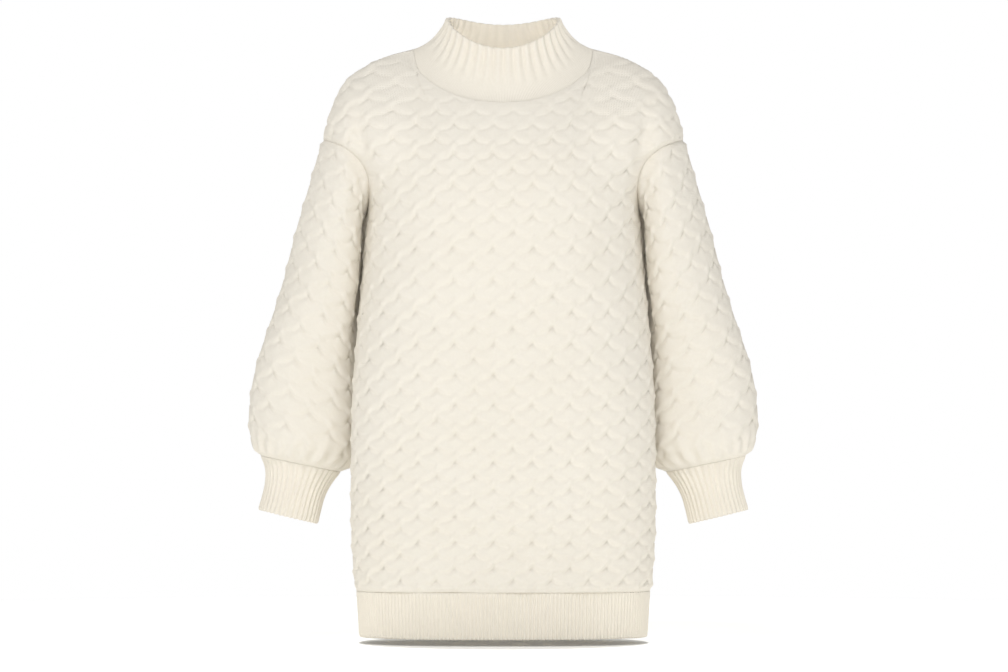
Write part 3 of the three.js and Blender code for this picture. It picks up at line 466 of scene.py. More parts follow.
# %% [markdown]
# Neighbouring pieces share a seam, so their walls must point the same way there, or the cloth would gape on
# the inside. Each wall takes its direction from its own surface, and turns to the direction of the nearest
# place on its seams over the last few centimetres. The relief sinks a little at a seam too, where a knitter
# links the two edges and the cloth rolls in.

# %% Directions shared at the seams
def towards(own, shared, distance, reach):
    """Turns a wall's direction to the seam's, which it has at distance 0."""
    return unit(mix(own, shared, smoothstep(reach, 0, distance)[..., None]))


def ridge_direction(out):
    at = (out - NECK_SHARE) / (1 - NECK_SHARE)
    ends = [walk(ridge_curve, np.clip(at + step, 0, 1)) for step in (-0.05, 0.05)]
    along = ends[1] - ends[0]
    return unit(xyz(-along[..., 2], 0, along[..., 0]))


def panel_normal(share, row, face):
    s, r = np.clip([share - 0.05, share + 0.05], -1, 1), np.clip([row - 0.5, row + 0.5], 0, TOP_ROW)
    across = panel_point(s[1], row, face) - panel_point(s[0], row, face)
    upwards = panel_point(share, r[1], face) - panel_point(share, r[0], face)
    return unit(np.cross(across, upwards)) * (1 if face == "front" else -1)


def neck_direction(share, face):
    """Along the neckline, from the centre (0) to the neck point (1), for x above 0."""
    own = panel_normal(share * NECK_SHARE, np.full_like(share, TOP_ROW), face)
    return unit(mix(own, ridge_direction(NECK_SHARE), smoothstep(0.6, 1, share)[..., None]))


def armhole_direction(share, face):
    """Midway between panel and sleeve, from the underarm (0) to the shoulder (1), for x above 0."""

    def sleeve_normal(turn):
        across = sleeve_point(0.0, turn + 0.1) - sleeve_point(0.0, turn - 0.1)
        return unit(np.cross(across, sleeve_point(0.06, turn) - sleeve_point(0.0, turn)))

    inner = np.clip(share, 0.02, 0.98)
    of_sleeve = sleeve_normal(armhole_turn(inner, face))
    of_panel = panel_normal(np.full_like(inner, 0.97), LOWER_ROWS + inner * YOKE_ROWS, face)
    at_underarm = mix(unit(of_sleeve + of_panel), np.array([1.0, 0, 0]), smoothstep(0.12, 0, share)[..., None])
    at_shoulder = unit(sleeve_normal(np.array(0.0)) + ridge_direction(1.0))
    return unit(mix(at_underarm, at_shoulder, smoothstep(0.88, 1, share)[..., None]))


for face in ("front", "back"):
    print(face, "armhole direction:", armhole_direction(np.array([0, 0.5, 1]), face).round(2).tolist())

# %% [markdown]
# A knitted dress hangs in a few broad, soft folds where it is pulled or has too much width: under the bust,
# down from the armpit and above the hem. They are listed as long troughs and ridges, given by where
# they begin and end, how wide and how deep they are. No two are alike, and the back has its own.

# %% Soft folds, listed one by one
FOLDS = {
    "front": table(
        "x0 z0 x1 z1 width depth",
        (158, -215, 118, -330, 20, -1.8),
        (-162, -210, -128, -318, 22, -1.6),
        (96, -560, 120, -800, 30, -2.2),
        (-60, -600, -84, -805, 34, 1.8),
        (22, -640, 34, -810, 26, -1.6),
        (-138, -520, -150, -790, 24, -1.7),
        (150, -420, 164, -640, 26, 1.5),
        (197, -72, 194, -160, 9, -4.2),
        (-197, -68, -194, -162, 9, -4.6),
    ),
    "back": table(
        "x0 z0 x1 z1 width depth",
        (150, -220, 96, -350, 24, -2.4),
        (-146, -226, -104, -372, 22, -2.1),
        (60, -480, 86, -806, 34, -2.4),
        (-30, -520, -52, -812, 30, 2.0),
        (-112, -500, -128, -796, 28, -2.2),
        (18, -120, 10, -260, 30, -1.2),
    ),
}


def soft_folds(points, face):
    x, z = points[..., 0], points[..., 2]
    lift = np.zeros_like(x)
    for x0, z0, x1, z1, width, depth in zip(*FOLDS[face].values()):
        length = math.hypot(x1 - x0, z1 - z0)
        along = ((x - x0) * (x1 - x0) + (z - z0) * (z1 - z0)) / length
        aside = ((x - x0) * (z1 - z0) - (z - z0) * (x1 - x0)) / length
        wander = aside + 4 * np.sin(along / 38 + x0)
        ends = smoothstep(-20, 50, along) * smoothstep(length + 30, length - 60, along)
        lift += depth * ends * np.exp(-((wander / width) ** 2))
    return lift


print("folds:", {face: len(FOLDS[face]["depth"]) for face in FOLDS})

# %% [markdown]
# The front and back panels are covered all over by the lattice. A knitter works it straight up and then
# shapes the armholes and the neckline into it, so its columns and rows follow the uncut yoke: a column is a
# line of equal `out`, and rows are counted by the length of cloth up from the hem seam. The weight of the
# dress has let the upper rows stretch and the lower ones close up a little.

# %% The knit's own columns and rows on a panel
LOW_ROW_MM, HIGH_ROW_MM = 17.7, 21.8  # half a cell's height near the hem and above the waist, as it hangs
FIRST_CROSSING = (-0.5, 0.45)  # column and row of the lowest crossing beside the middle of a panel
heights = np.linspace(HEM_SEAM_Z, UNDERARM_Z, 201)
row_heights = mix(LOW_ROW_MM, HIGH_ROW_MM, smoothstep(-700, -330, heights))
rows_below = np.concatenate([[0], np.cumsum(np.diff(heights) / row_heights[1:])])
OUTS, RISES = np.linspace(0, 1, 41), np.linspace(0, 1, 81)


def yoke_lengths(face):
    lines = yoke_point(OUTS[:, None], RISES[None, :], face)
    steps = np.linalg.norm(np.diff(lines, axis=1), axis=-1)
    return np.concatenate([np.zeros((41, 1)), np.cumsum(steps, axis=1)], axis=1)


def knit_place(share, row, face):
    """Lattice column and row of a place on a panel."""
    out, up = np.abs(share), np.clip((row - LOWER_ROWS) / YOKE_ROWS, 0, 1)
    z = mix(HEM_SEAM_Z, UNDERARM_Z - underarm_dip(out), np.clip(row / LOWER_ROWS, 0, 1))
    place_out, place_rise = yoke_place(out, up, face)
    i, j = np.minimum((place_out * 40).astype(int), 39), np.minimum((place_rise * 80).astype(int), 79)
    s, t, lengths = place_out * 40 - i, place_rise * 80 - j, yoke_lengths(face)
    length = mix(mix(lengths[i, j], lengths[i + 1, j], s), mix(lengths[i, j + 1], lengths[i + 1, j + 1], s), t)
    length = length + underarm_dip(out) * (1 - (1 - up) ** 2)
    column = np.where(up > 0, place_out, out) * np.sign(share) * PANEL_COLUMNS / 2
    return column, np.interp(z, heights, rows_below) + length / HIGH_ROW_MM


_, neckline_row = knit_place(np.array(0.0), np.array(float(TOP_ROW)), "front")
print("rows from hem seam to neckline:", neckline_row.round(1))

# %% [markdown]
# The panel itself is a fine grid, with a row of points every 2 to 3 mm. Each point finds the nearest place
# on the piece's own four seams, which gives the distance over which the relief rises from the seam. Towards
# the neckline the cloth is pulled flatter, so the relief is calmer there. Three seams meet at each neck point,
# and the grid is eased round it, so that the cloth has no kink where its columns turn sharply.

# %% Front and back panels
FINE_COLUMN, LOWER_STEPS, YOKE_STEPS = 12, 208, 128  # grid steps: in half a cell, below and above the underarm
SEAM_REACH = 30  # millimetres over which a wall turns to its seam's direction
panels = {}


def nearest_on(edge, grid):
    """Distance to the nearest point of an edge, and that point's index, for each point of a grid."""
    found = [np.linalg.norm(line[:, None] - edge[None], axis=-1) for line in grid]
    return np.array([gap.min(1) for gap in found]), np.array([gap.argmin(1) for gap in found])


def eased(grid, weight, rounds):
    """Each round moves inner points towards the mean of their four neighbours, by their weight."""
    for _ in range(rounds):
        means = grid[:-2, 1:-1] + grid[2:, 1:-1] + grid[1:-1, :-2] + grid[1:-1, 2:]
        soft = grid.copy()
        soft[1:-1, 1:-1] = means / 4
        grid = mix(grid, soft, weight)
    return grid


def panel(face):
    columns = PANEL_COLUMNS * FINE_COLUMN
    turned = 1 if face == "front" else -1
    share = turned * np.linspace(-1, 1, columns + 1)[None, :]
    in_yoke = np.linspace(LOWER_ROWS, TOP_ROW, YOKE_STEPS + 1)[1:]
    row = np.concatenate([np.linspace(0, LOWER_ROWS, LOWER_STEPS + 1), in_yoke])[:, None]
    share, row = np.broadcast_arrays(share, row)
    base, out = panel_point(share, row, face), np.abs(share[0])
    to_neck_point = nearest_on(base[-1][np.isclose(out, NECK_SHARE)], base)[0]
    near = smoothstep(60, 20, to_neck_point)[..., None]
    base = eased(base, near, 60)
    own = eased(normals(base), near, 40)
    mirror = np.where(share[0] < 0, -1, 1)[:, None] * (1, 0, 0) + (0, 1, 1)
    at_side = armhole_direction(np.clip((row[:, 0] - LOWER_ROWS) / YOKE_ROWS, 0, 1), face)
    at_side[row[:, 0] < LOWER_ROWS] = (1, 0, 0)
    at_neck = neck_direction(np.clip(out / NECK_SHARE, 0, 1), face)
    at_top = np.where((out <= NECK_SHARE)[:, None], at_neck, ridge_direction(np.clip(out, NECK_SHARE, 1)))
    seams = [base[-1], base[:, 0], base[:, -1], base[0]]
    seam_directions = [at_top * mirror, at_side * mirror[0], at_side * mirror[-1], unit(own[0] * (1, 1, 0))]
    to_seam, nearest = nearest_on(np.concatenate(seams)[::2], base)
    direction = towards(own, np.concatenate(seam_directions)[::2][nearest], to_seam, SEAM_REACH)
    for line, given in ((0, seam_directions[3]), (-1, seam_directions[0])):
        direction[line] = given
    direction[:, 0], direction[:, -1] = seam_directions[1], seam_directions[2]
    to_neckline = nearest_on(base[-1][out <= NECK_SHARE], base)[0]
    knit_column, knit_row = knit_place(share, row, face)
    cables = lattice(knit_column - FIRST_CROSSING[0], knit_row - FIRST_CROSSING[1])
    calm = 1 - 0.5 * smoothstep(90, 5, to_neckline) - 0.4 * smoothstep(50, 15, to_neck_point)
    lift = mix(SEAM_LEVEL, RELIEF_FLOOR + calm * cables, smoothstep(0, 8, to_seam))
    away = smoothstep(4, 30, to_seam) * soft_folds(base, face)
    outer = base + direction * (lift + away)[..., None]
    inner = (base + direction * (away + RELIEF_FLOOR - KNIT_WALL)[..., None])[::4, ::4]
    uv = np.stack([knit_column * COLUMN_MM * turned, knit_row * ROW_MM], -1) * MM
    return wall(f"{face}_panel_knit", outer, inner, uv)


for face in ("front", "back"):
    panels[face] = panel(face)
    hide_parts(f"{face}_panel")

# %% [markdown]
# A balloon sleeve is one tube of the same lattice, closed by a seam under the arm. Its rows too are counted by
# the length of cloth, here up from the cuff. Its full width is gathered into the narrow cuff, so short soft
# pleats fan up from the cuff seam and die out within a hand's breadth, and the slack above them sags in broad
# waves. The right sleeve is the left one mirrored, with its faces turned round.

# %% Balloon sleeves
SLEEVE_ROWS, SLEEVE_COLUMNS = 18, 16
FINE_SLEEVE_COLUMN, FINE_SLEEVE_ROW = 12, 12
SLEEVE_ROW_MM = 22.6
GATHERS = 22


def across_cuff(direction):
    """The part of a direction that runs across the cuff seam, so that the walls meet flat there."""
    top = CUFF_SECTIONS
    axis = unit(np.array([top["out_z"][0] - top["in_z"][0], 0, top["in_x"][0] - top["out_x"][0]]))
    return unit(direction - (direction @ axis)[..., None] * axis)


def mirrored(grid):
    return (grid * (-1, 1, 1))[:, ::-1]


def sleeve():
    columns, rows = SLEEVE_COLUMNS * FINE_SLEEVE_COLUMN, SLEEVE_ROWS * FINE_SLEEVE_ROW
    around = np.linspace(0, 1, columns + 1)[None, :]
    at = np.linspace(1, 0, rows + 1)[:, None]
    turn = math.pi * (1 - 2 * around)
    base = sleeve_point(at, turn)
    around, at = np.broadcast_arrays(around, at)
    own = normals(base, closed=True)
    front = around[0] <= 0.5
    seam_share = np.where(front, 2 * around[0], 2 - 2 * around[0])
    by_face = [armhole_direction(seam_share, face) for face in ("front", "back")]
    direction = towards(own, np.where(front[:, None], *by_face)[None], at, 0.06)
    direction = towards(direction, across_cuff(own[0])[None], 1 - at, 0.03)
    steps = np.linalg.norm(np.diff(base, axis=0), axis=-1) / SLEEVE_ROW_MM
    row = np.concatenate([np.zeros_like(steps[:1]), np.cumsum(steps, axis=0)])
    pleat = np.sin(2 * math.pi * GATHERS * around + 0.9 * np.sin(2 * math.pi * 3 * around) + 0.5 * row)
    gathered = 2.6 * smoothstep(2.6, 0.2, row) * pleat * (0.75 + 0.25 * np.sin(2 * math.pi * 5 * around + 1))
    sag = 2.4 * np.sin(2 * math.pi * around * 2 + row * 0.45) * smoothstep(1, 6, row) * smoothstep(17, 11, row)
    to_seam = np.minimum(row, row[-1] - row) * SLEEVE_ROW_MM
    calm = 1 - 0.5 * smoothstep(2.5, 0.5, row)
    cables = lattice(around * SLEEVE_COLUMNS, row)
    lift = mix(SEAM_LEVEL, RELIEF_FLOOR + calm * cables, smoothstep(0, 8, to_seam))
    away = smoothstep(0, 14, to_seam) * (gathered + sag)
    outer = base + direction * (lift + away)[..., None]
    inner = (base + direction * (away + RELIEF_FLOOR - KNIT_WALL)[..., None])[::4, ::4]
    uv = np.stack([around * SLEEVE_COLUMNS * COLUMN_MM, row * SLEEVE_ROW_MM], -1) * MM
    return outer, inner, uv


sleeve_grids = sleeve()
sleeves = {
    "left": wall("sleeve_left_knit", *sleeve_grids, closed=True),
    "right": wall("sleeve_right_knit", *map(mirrored, sleeve_grids[:2]), sleeve_grids[2], closed=True),
}
for side, piece in sleeves.items():
    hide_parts(f"sleeve_{side}")

# %% [markdown]
# Ribs are knitted by turns of plain and purl stitches. The plain ones stand up as round columns and the purl
# ones sink into narrow grooves, so a rib's profile is broad and full with a sharp dip, not a sine wave. A
# free edge is cast on, so it is rolled: a few more rows of points go round it from the outer face to the
# inner one, and the ribs give it its small scallops.

# %% Ribs and rolled edges
GROOVE_HALF = 0.27  # half a groove's width, as a share of the rib's pitch


def ribs(place, count, height):
    """Height above the floor at a place from 0 to 1 across the ribs. Grooves lie at both ends."""
    to_groove = 0.5 - np.abs((place * count) % 1 - 0.5)
    return height * (1 - np.exp(-((to_groove / GROOVE_HALF) ** 2)))


def rolled_edge(edge, direction, beyond, lift_out, lift_in, steps=6):
    """Rows of points from the outer face round a free edge, along `beyond`, to the inner face."""
    turn = np.linspace(0, 0.92 * math.pi, steps + 1)[1:, None]
    middle, radius = (lift_out + lift_in) / 2, (lift_out - lift_in) / 2
    return (
        edge
        + direction * (middle + radius * np.cos(turn))[..., None]
        + beyond * (0.75 * radius * np.sin(turn))[..., None]
    )


print("rib profile in mm:", ribs(np.array([0, 0.25, 0.5]), 1, 2.0).round(2).tolist())

# %% [markdown]
# The hem band goes round in two pieces, front and back, and each cuff is a short tube. Both start a little
# above their lowest line, which leaves room for the rolled edge.

# %% Ribbed bands for the hem and the cuffs
HEM_RIBS, CUFF_RIBS = 98, 36
EDGE_ROOM = 2.2  # millimetres that a rolled edge takes
HEM_CUT, CUFF_CUT = (530, 65), (222, 80)  # millimetres round and up


def hem_band(face):
    turned = 1 if face == "front" else -1
    a = np.linspace(0, 1, HEM_RIBS * 8 + 1)[None, :]
    b = np.linspace(EDGE_ROOM / HEM_CUT[1], 1, 25)[:, None]
    share = turned * (2 * a - 1)
    base = body_point(mix(HEM_Z, HEM_SEAM_Z, b), np.abs(share), face)
    base[..., 0] *= np.where(share < 0, -1, 1)
    share, a, b = np.broadcast_arrays(share, a, b)
    to_side = (1 - np.abs(share)) * HEM_CUT[0] / 2
    side = xyz(np.where(share[0] < 0, -1.0, 1.0), 0, 0)[None]
    direction = unit(towards(normals(base), side, 1 - np.abs(share), 0.08) * (1, 1, 0))
    to_seam = np.minimum((1 - b) * HEM_CUT[1], to_side)
    lift = mix(SEAM_LEVEL, RELIEF_FLOOR + ribs(a, HEM_RIBS, 2.0), smoothstep(0, 4, to_seam))
    lift -= 0.8 * smoothstep(6, 0, b * HEM_CUT[1])
    away = soft_folds(base, face) * smoothstep(4, 30, to_side)
    lift, lift_in = lift + away, away + RELIEF_FLOOR - KNIT_WALL
    edge = rolled_edge(base[0], direction[0], np.array([0, 0, -1]), lift[0], lift_in[0])
    outer = np.concatenate([edge[::-1], base + direction * lift[..., None]])
    inner = (base + direction * lift_in[..., None])[[0, 4, 8, 14, 19, 24], ::8]
    heights = np.linspace(-7, HEM_CUT[1], 31)[:, None]
    across, upwards = np.broadcast_arrays(turned * share[0] * HEM_CUT[0] / 2, heights)
    return wall(f"hem_band_{face}_rib", outer, inner, np.stack([across, upwards], -1) * MM)


def cuff():
    a = np.linspace(0, 1, CUFF_RIBS * 8 + 1)[None, :]
    b = np.linspace(EDGE_ROOM / CUFF_CUT[1], 1, 37)[:, None]
    base = tube_point(CUFF_SECTIONS, 1 - b, math.pi * (1 - 2 * a))
    direction = across_cuff(normals(base, closed=True))
    a, b = np.broadcast_arrays(a, b)
    lift = mix(SEAM_LEVEL, RELIEF_FLOOR + ribs(a, CUFF_RIBS, 2.3), smoothstep(0, 4, (1 - b) * CUFF_CUT[1]))
    lift = lift - 0.8 * smoothstep(6, 0, b * CUFF_CUT[1])
    lift_in = RELIEF_FLOOR - KNIT_WALL
    edge = rolled_edge(base[0], direction[0], unit(base[0] - base[1]), lift[0], lift_in)
    outer = np.concatenate([edge[::-1], base + direction * lift[..., None]])
    across, upwards = np.broadcast_arrays(a[0] * CUFF_CUT[0], np.linspace(-7, CUFF_CUT[1], 43)[:, None])
    return outer, (base + direction * lift_in)[::6, ::8], np.stack([across, upwards], -1) * MM


hem_bands = {face: hem_band(face) for face in ("front", "back")}
cuff_grids = cuff()
cuffs = {
    "left": wall("cuff_left_rib", *cuff_grids, closed=True),
    "right": wall("cuff_right_rib", *map(mirrored, cuff_grids[:2]), cuff_grids[2], closed=True),
}
for face, piece in hem_bands.items():
    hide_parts(f"hem_band_{face}")
for side, piece in cuffs.items():
    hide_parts(f"cuff_{side}")

# %% [markdown]
# The funnel neck is knitted on from the neckline upwards. It leans in over the collar bones and then stands.
# Its ribs are deep at the loose top edge and melt away into the yoke well before the seam, so the seam itself
# hardly shows. A rib has two faces, and the inside of the back is in plain view, so here the inner grid is as
# fine as the outer one and carries the ribs too, with its grooves behind the ribs of the outside.

# %% Funnel neck
NECK_RIBS = 38
NECK_TOP = {"half_width": 78.5, "front_y": -60, "side_y": -2, "back_y": 54}
NECK_TOP_Z = {"mean": 30.5, "tilt": -17.9, "saddle": -11.5}
NECK_INWARD, NECK_UPWARD = 1.5, 1.3
NECK_CUT = (440, 105)


def round_neck(a, read):
    """Reads the neckline round its four quarters, from the centre back and to the right seen from outside."""
    quarter = 4 * (a % 1)
    part, t = np.minimum(quarter.astype(int), 3), quarter - np.minimum(quarter.astype(int), 3)
    share = np.where(part % 2 == 0, t, 1 - t)
    at_back = ((part == 0) | (part == 3))[..., None]
    p = np.where(at_back, read(share, "back"), read(share, "front"))
    return p * np.where((part < 2)[..., None], (-1, 1, 1), (1, 1, 1))


def neckband():
    a = np.linspace(0, 1, NECK_RIBS * 12 + 1)
    b = np.linspace(0, 1 - EDGE_ROOM / NECK_CUT[1], 49)[:, None]
    seam = round_neck(a, lambda share, face: panel_point(share * NECK_SHARE, TOP_ROW, face))[None]
    seam_direction = round_neck(a, neck_direction)
    angle = 2 * math.pi * a
    centre_y = np.where(np.cos(angle) > 0, NECK_TOP["back_y"], NECK_TOP["front_y"])
    top = xyz(
        -NECK_TOP["half_width"] * np.sin(angle),
        mix(NECK_TOP["side_y"], centre_y, np.abs(np.cos(angle))),
        NECK_TOP_Z["mean"] - NECK_TOP_Z["tilt"] * np.cos(angle) + NECK_TOP_Z["saddle"] * np.cos(2 * angle),
    )[None]
    inward = (1 - (1 - b) ** NECK_INWARD)[..., None]
    base = mix(seam, top, inward)
    base[..., 2] = mix(seam[..., 2], top[..., 2], b**NECK_UPWARD)
    direction = towards(normals(base, closed=True), seam_direction[None], b, 0.2)
    a, b = np.broadcast_arrays(a[None, :], b)
    depth = smoothstep(0.25, 0.8, b)
    lift = mix(SEAM_LEVEL, RELIEF_FLOOR + mix(1.2, ribs(a, NECK_RIBS, 4.0), depth), smoothstep(0, 0.05, b))
    lift_in = RELIEF_FLOOR - KNIT_WALL + mix(0.8, 1.6 - ribs(a + 0.5 / NECK_RIBS, NECK_RIBS, 1.8), depth)
    edge = rolled_edge(base[-1], direction[-1], unit(base[-1] - base[-2]), lift[-1], lift_in[-1])
    outer = np.concatenate([base + direction * lift[..., None], edge])
    inner = (base + direction * lift_in[..., None])[::8]
    across, upwards = np.broadcast_arrays(a[0] * NECK_CUT[0], np.linspace(0, NECK_CUT[1] + 7, 55)[:, None])
    return wall("neckband_rib", outer, inner, np.stack([across, upwards], -1) * MM, closed=True)


neck = neckband()
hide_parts("neckband")

# %% [markdown]
# The yarn is a soft blend of wool and acrylic, spun loosely and left a warm undyed cream. Wool has no gloss:
# its scaly fibres scatter light, so the roughness is high, the specular level low, and a faint sheen stands
# for the fuzz that catches light at the edges. Its stitches are little V shapes in columns. Their bump is
# drawn from the UVs at the real gauge, one stitch in 3.3 mm across and 2.5 mm up, and a fine noise stands
# for fibres. A loosely spun yarn isn't quite even, so its colour drifts a little from place to place.

# %% Colour and node helpers
def linear(hex_colour):
    """sRGB hex, such as 'f2ead8', to the linear values that Blender's nodes use."""
    channels = [int(hex_colour[k : k + 2], 16) / 255 for k in (0, 2, 4)]
    return tuple(c / 12.92 if c <= 0.04045 else ((c + 0.055) / 1.055) ** 2.4 for c in channels) + (1.0,)


def node(tree, kind, inputs=(), **settings):
    """Adds one node. inputs are named or numbered, and a node given as a value passes on its first output."""
    made = tree.nodes.new(kind)
    for key, value in settings.items():
        setattr(made, key, value)
    for key, value in inputs.items() if isinstance(inputs, dict) else enumerate(inputs):
        value = value.outputs[0] if isinstance(value, bpy.types.Node) else value
        if isinstance(value, bpy.types.NodeSocket):
            tree.links.new(value, made.inputs[key])
        else:
            made.inputs[key].default_value = value
    return made


print("cream in linear light:", [round(c, 3) for c in linear("f2ead8")])

# %% [markdown]
# One function makes both finishes. The cable knit is plain stitches, and the rib knit is the same yarn at a
# finer gauge. Its colour is painted a shade warmer and darker: painted shade for the shadow that its grooves
# hold.

# %% Wool knit
STITCH_WIDTH, STITCH_HEIGHT = 3.3, 2.5  # millimetres


def wool_knit(name, light, shade, stitch_width, stitch_height, stitch_depth):
    material = bpy.data.materials.new(name)
    material.use_nodes = True
    tree = material.node_tree
    tree.nodes.clear()
    place = node(tree, "ShaderNodeSeparateXYZ", [node(tree, "ShaderNodeUVMap", uv_map="cloth")])
    column = node(tree, "ShaderNodeMath", [place.outputs[0], stitch_width * MM], operation="DIVIDE")
    course = node(tree, "ShaderNodeMath", [place.outputs[1], stitch_height * MM], operation="DIVIDE")
    in_stitch = node(tree, "ShaderNodeMath", [column], operation="FRACT")
    off_middle = node(tree, "ShaderNodeMath", [in_stitch, 0.5], operation="SUBTRACT")
    aside = node(tree, "ShaderNodeMath", [off_middle], operation="ABSOLUTE")
    leaning = node(tree, "ShaderNodeMath", [aside, -1.3, course], operation="MULTIPLY_ADD")
    leaning_turn = node(tree, "ShaderNodeMath", [leaning, 2 * math.pi], operation="MULTIPLY")
    loop = node(tree, "ShaderNodeMath", [leaning_turn], operation="SINE")
    aside_turn = node(tree, "ShaderNodeMath", [aside, 2 * math.pi], operation="MULTIPLY")
    leg = node(tree, "ShaderNodeMath", [aside_turn], operation="SINE")
    both = node(tree, "ShaderNodeMath", [loop, 0.5, leg], operation="MULTIPLY_ADD")
    where = node(tree, "ShaderNodeTexCoord").outputs["Object"]
    fibre = node(tree, "ShaderNodeTexNoise", {"Vector": where, "Scale": 900.0, "Detail": 3.0, "Roughness": 0.6})
    drift = node(tree, "ShaderNodeTexNoise", {"Vector": where, "Scale": 14.0, "Detail": 4.0, "Roughness": 0.55})
    mottle = node(tree, "ShaderNodeTexNoise", {"Vector": where, "Scale": 260.0, "Detail": 2.0, "Roughness": 0.5})
    blend = node(tree, "ShaderNodeMath", [drift, mottle], operation="ADD")
    half = node(tree, "ShaderNodeMath", [blend, 0.5], operation="MULTIPLY")
    colour = node(tree, "ShaderNodeMix", {0: half, 6: linear(shade), 7: linear(light)}, data_type="RGBA")
    fuzz = node(tree, "ShaderNodeBump", {"Strength": 0.35, "Distance": 0.3 * MM, "Height": fibre})
    stitches = node(
        tree, "ShaderNodeBump", {"Strength": 0.6, "Distance": stitch_depth * MM, "Height": both, "Normal": fuzz}
    )
    yarn = {"Base Color": colour.outputs[2], "Roughness": 0.92, "IOR": 1.54, "Specular IOR Level": 0.2}
    fuzz_light = {"Sheen Weight": 0.15, "Sheen Roughness": 0.5, "Sheen Tint": linear("fff8ea")}
    shader = node(tree, "ShaderNodeBsdfPrincipled", {**yarn, **fuzz_light, "Normal": stitches})
    node(tree, "ShaderNodeOutputMaterial", {"Surface": shader})
    return material


cable_wool = wool_knit("cream_wool_cable_knit", "f0ebe1", "e8e1d3", STITCH_WIDTH, STITCH_HEIGHT, 0.5)
# The rib colours are the cable yarn painted a little warmer and darker: painted shade for the ribs' grooves.
rib_wool_painted_shade = wool_knit("cream_wool_rib_knit", "f0eade", "e7e0d2", 2.7, 2.3, 0.35)
print("finishes:", cable_wool.name, rib_wool_painted_shade.name)

# %% [markdown]
# Each piece now rides on the imported model's one body and takes its finish.

# %% Finishes and bodies
for piece in (*panels.values(), *sleeves.values(), *hem_bands.values(), *cuffs.values(), neck):
    ribbed = piece.name.endswith("rib")
    piece.data.materials.append(rib_wool_painted_shade if ribbed else cable_wool)
    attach(piece, "root")

# %% [markdown]
# The dress hangs a finger's breadth above a disc of white acrylic that glows a little, as on a light table. A
# board in its middle, right under the dress, glows much less: a painted shadow, so that a soft pale shadow
# gathers at the hem. Studio light for pale knitwear is large and comes from the front, so that the cloth stays
# bright. It comes also from above and a little from one side, or the cables would hardly show. The world is
# white round the horizon and below it, like the walls of a white studio, and dimmer overhead. Some light
# always comes through a knit as well. The cloth here is opaque, so one small lamp in the hollow, which the
# camera doesn't see, stands for that light inside the neck.

# %% Floor and light
FLOOR_Z, FLOOR_RADIUS, FLOOR_GLOW = -0.818, 1.6, 0.62
# The board under the dress glows much less than the sheet round it: a painted shadow at the hem.
SHADOW_BOARD_RADIUS, PAINTED_SHADOW_GLOW = (0.2, 0.2), 0.1
WALL_LIGHT, OVERHEAD_LIGHT = 1.0, 0.3
LAMPS = (
    ("key_lamp", (-0.6, -2.5, 2.7), (0.0, 0.0, -0.4), 0.8, 57),
    ("fill_lamp", (1.5, -3.2, -0.3), (0.0, 0.0, -0.5), 1.8, 11),
)
HOLLOW_LAMP = ("hollow_lamp", (0.0, -0.02, -0.3), (0.0, 0.05, 0.0), 0.12, 0.45)


def white_sheet(name, glow):
    sheet = bpy.data.materials.new(name)
    sheet.use_nodes = True
    surface = sheet.node_tree.nodes["Principled BSDF"]
    surface.inputs["Base Color"].default_value = linear("fafaf8")
    surface.inputs["Roughness"].default_value = 0.7
    surface.inputs["Specular IOR Level"].default_value = 0.1
    surface.inputs["Emission Color"].default_value = linear("fffffc")
    surface.inputs["Emission Strength"].default_value = glow
    return sheet


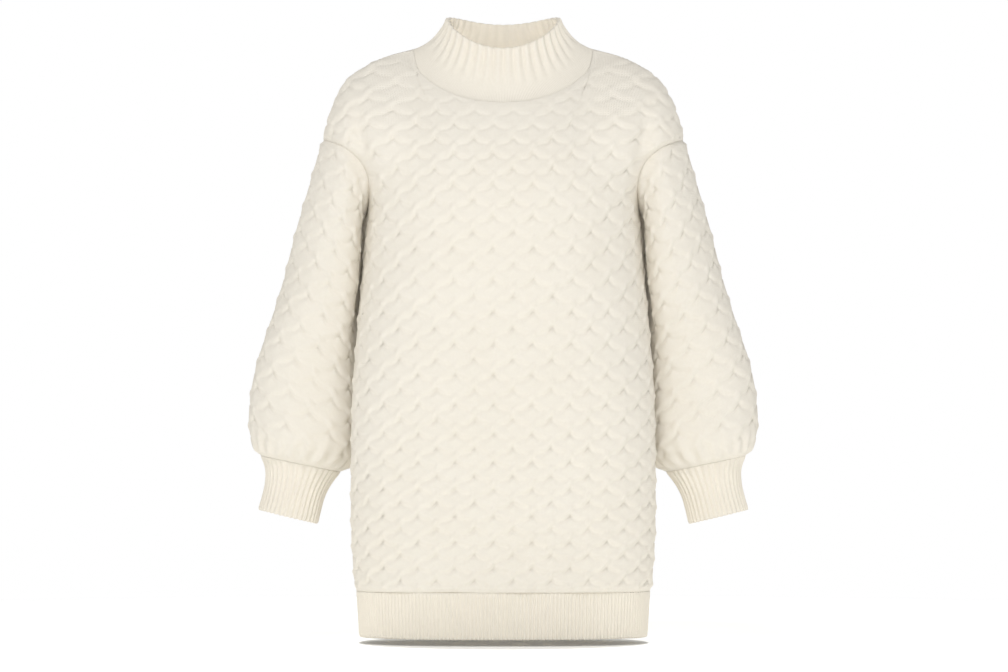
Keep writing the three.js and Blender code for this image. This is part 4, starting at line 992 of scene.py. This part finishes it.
def studio_floor():
    """A round glowing sheet, with a round board in its middle that glows much less, as a painted shadow under the
    dress.
    """
    turn = np.linspace(0, 2 * math.pi, 97)[:-1]
    board = xyz(SHADOW_BOARD_RADIUS[0] * np.cos(turn), SHADOW_BOARD_RADIUS[1] * np.sin(turn), FLOOR_Z)
    rim = xyz(FLOOR_RADIUS * np.cos(turn), FLOOR_RADIUS * np.sin(turn), FLOOR_Z)
    ring = [(k, 96 + k, 96 + (k + 1) % 96, (k + 1) % 96) for k in range(96)]
    mesh = bpy.data.meshes.new("studio_floor")
    mesh.from_pydata([*board.tolist(), *rim.tolist()], [], [list(range(96)), *ring])
    mesh.materials.append(white_sheet("painted_shadow_board", PAINTED_SHADOW_GLOW))
    mesh.materials.append(white_sheet("white_acrylic_sheet", FLOOR_GLOW))
    mesh.polygons.foreach_set("material_index", [0] + [1] * 96)
    ground = bpy.data.objects.new("studio_floor", mesh)
    bpy.context.scene.collection.objects.link(ground)
    return ground


def lamp(name, place, aim, size, power):
    data = bpy.data.lights.new(name, "AREA")
    data.shape, data.size, data.energy = "SQUARE", size, power
    light = bpy.data.objects.new(name, data)
    light.location = place
    x, y, z = np.array(aim) - np.array(place)
    light.rotation_euler = (math.atan2(math.hypot(x, y), -z), 0, math.atan2(-x, y))
    bpy.context.scene.collection.objects.link(light)
    return light


floor = studio_floor()
world = bpy.data.worlds.new("white_studio")
world.use_nodes = True
sky = world.node_tree
sky.nodes.clear()
direction = node(sky, "ShaderNodeSeparateXYZ", [node(sky, "ShaderNodeTexCoord").outputs["Generated"]])
brightness = node(sky, "ShaderNodeMapRange", [direction.outputs[2], 0.2, 0.45, WALL_LIGHT, OVERHEAD_LIGHT])
studio = node(sky, "ShaderNodeBackground", {"Color": (1.0, 1.0, 1.0, 1.0), "Strength": brightness})
node(sky, "ShaderNodeOutputWorld", {"Surface": studio})
bpy.context.scene.world = world
lamps = [lamp(*given) for given in (*LAMPS, HOLLOW_LAMP)]
lamps[-1].visible_camera = False
bpy.context.scene.view_settings.view_transform = "Standard"
print("lamps:", {light.name: light.data.energy for light in lamps})

# %% [markdown]
# The camera looks level at the dress from 9 m away, straight from the front. From so far the hem band, which
# is level, shows as an almost straight line. A lens of about 230 mm then fits 1.39 m across the picture.

# %% Camera
PICTURE_WIDTH, DISTANCE = 1008 * 1.38 * MM, 9.0
lens = bpy.data.cameras.new("front_camera")
lens.sensor_width = 36
lens.lens = 36 * DISTANCE / PICTURE_WIDTH
camera = bpy.data.objects.new("front_camera", lens)
camera.location = (0.001, -DISTANCE, -0.3947)
camera.rotation_euler = (math.pi / 2, 0, 0)
bpy.context.scene.collection.objects.link(camera)
bpy.context.scene.camera = camera
print("lens in mm:", round(lens.lens, 1))
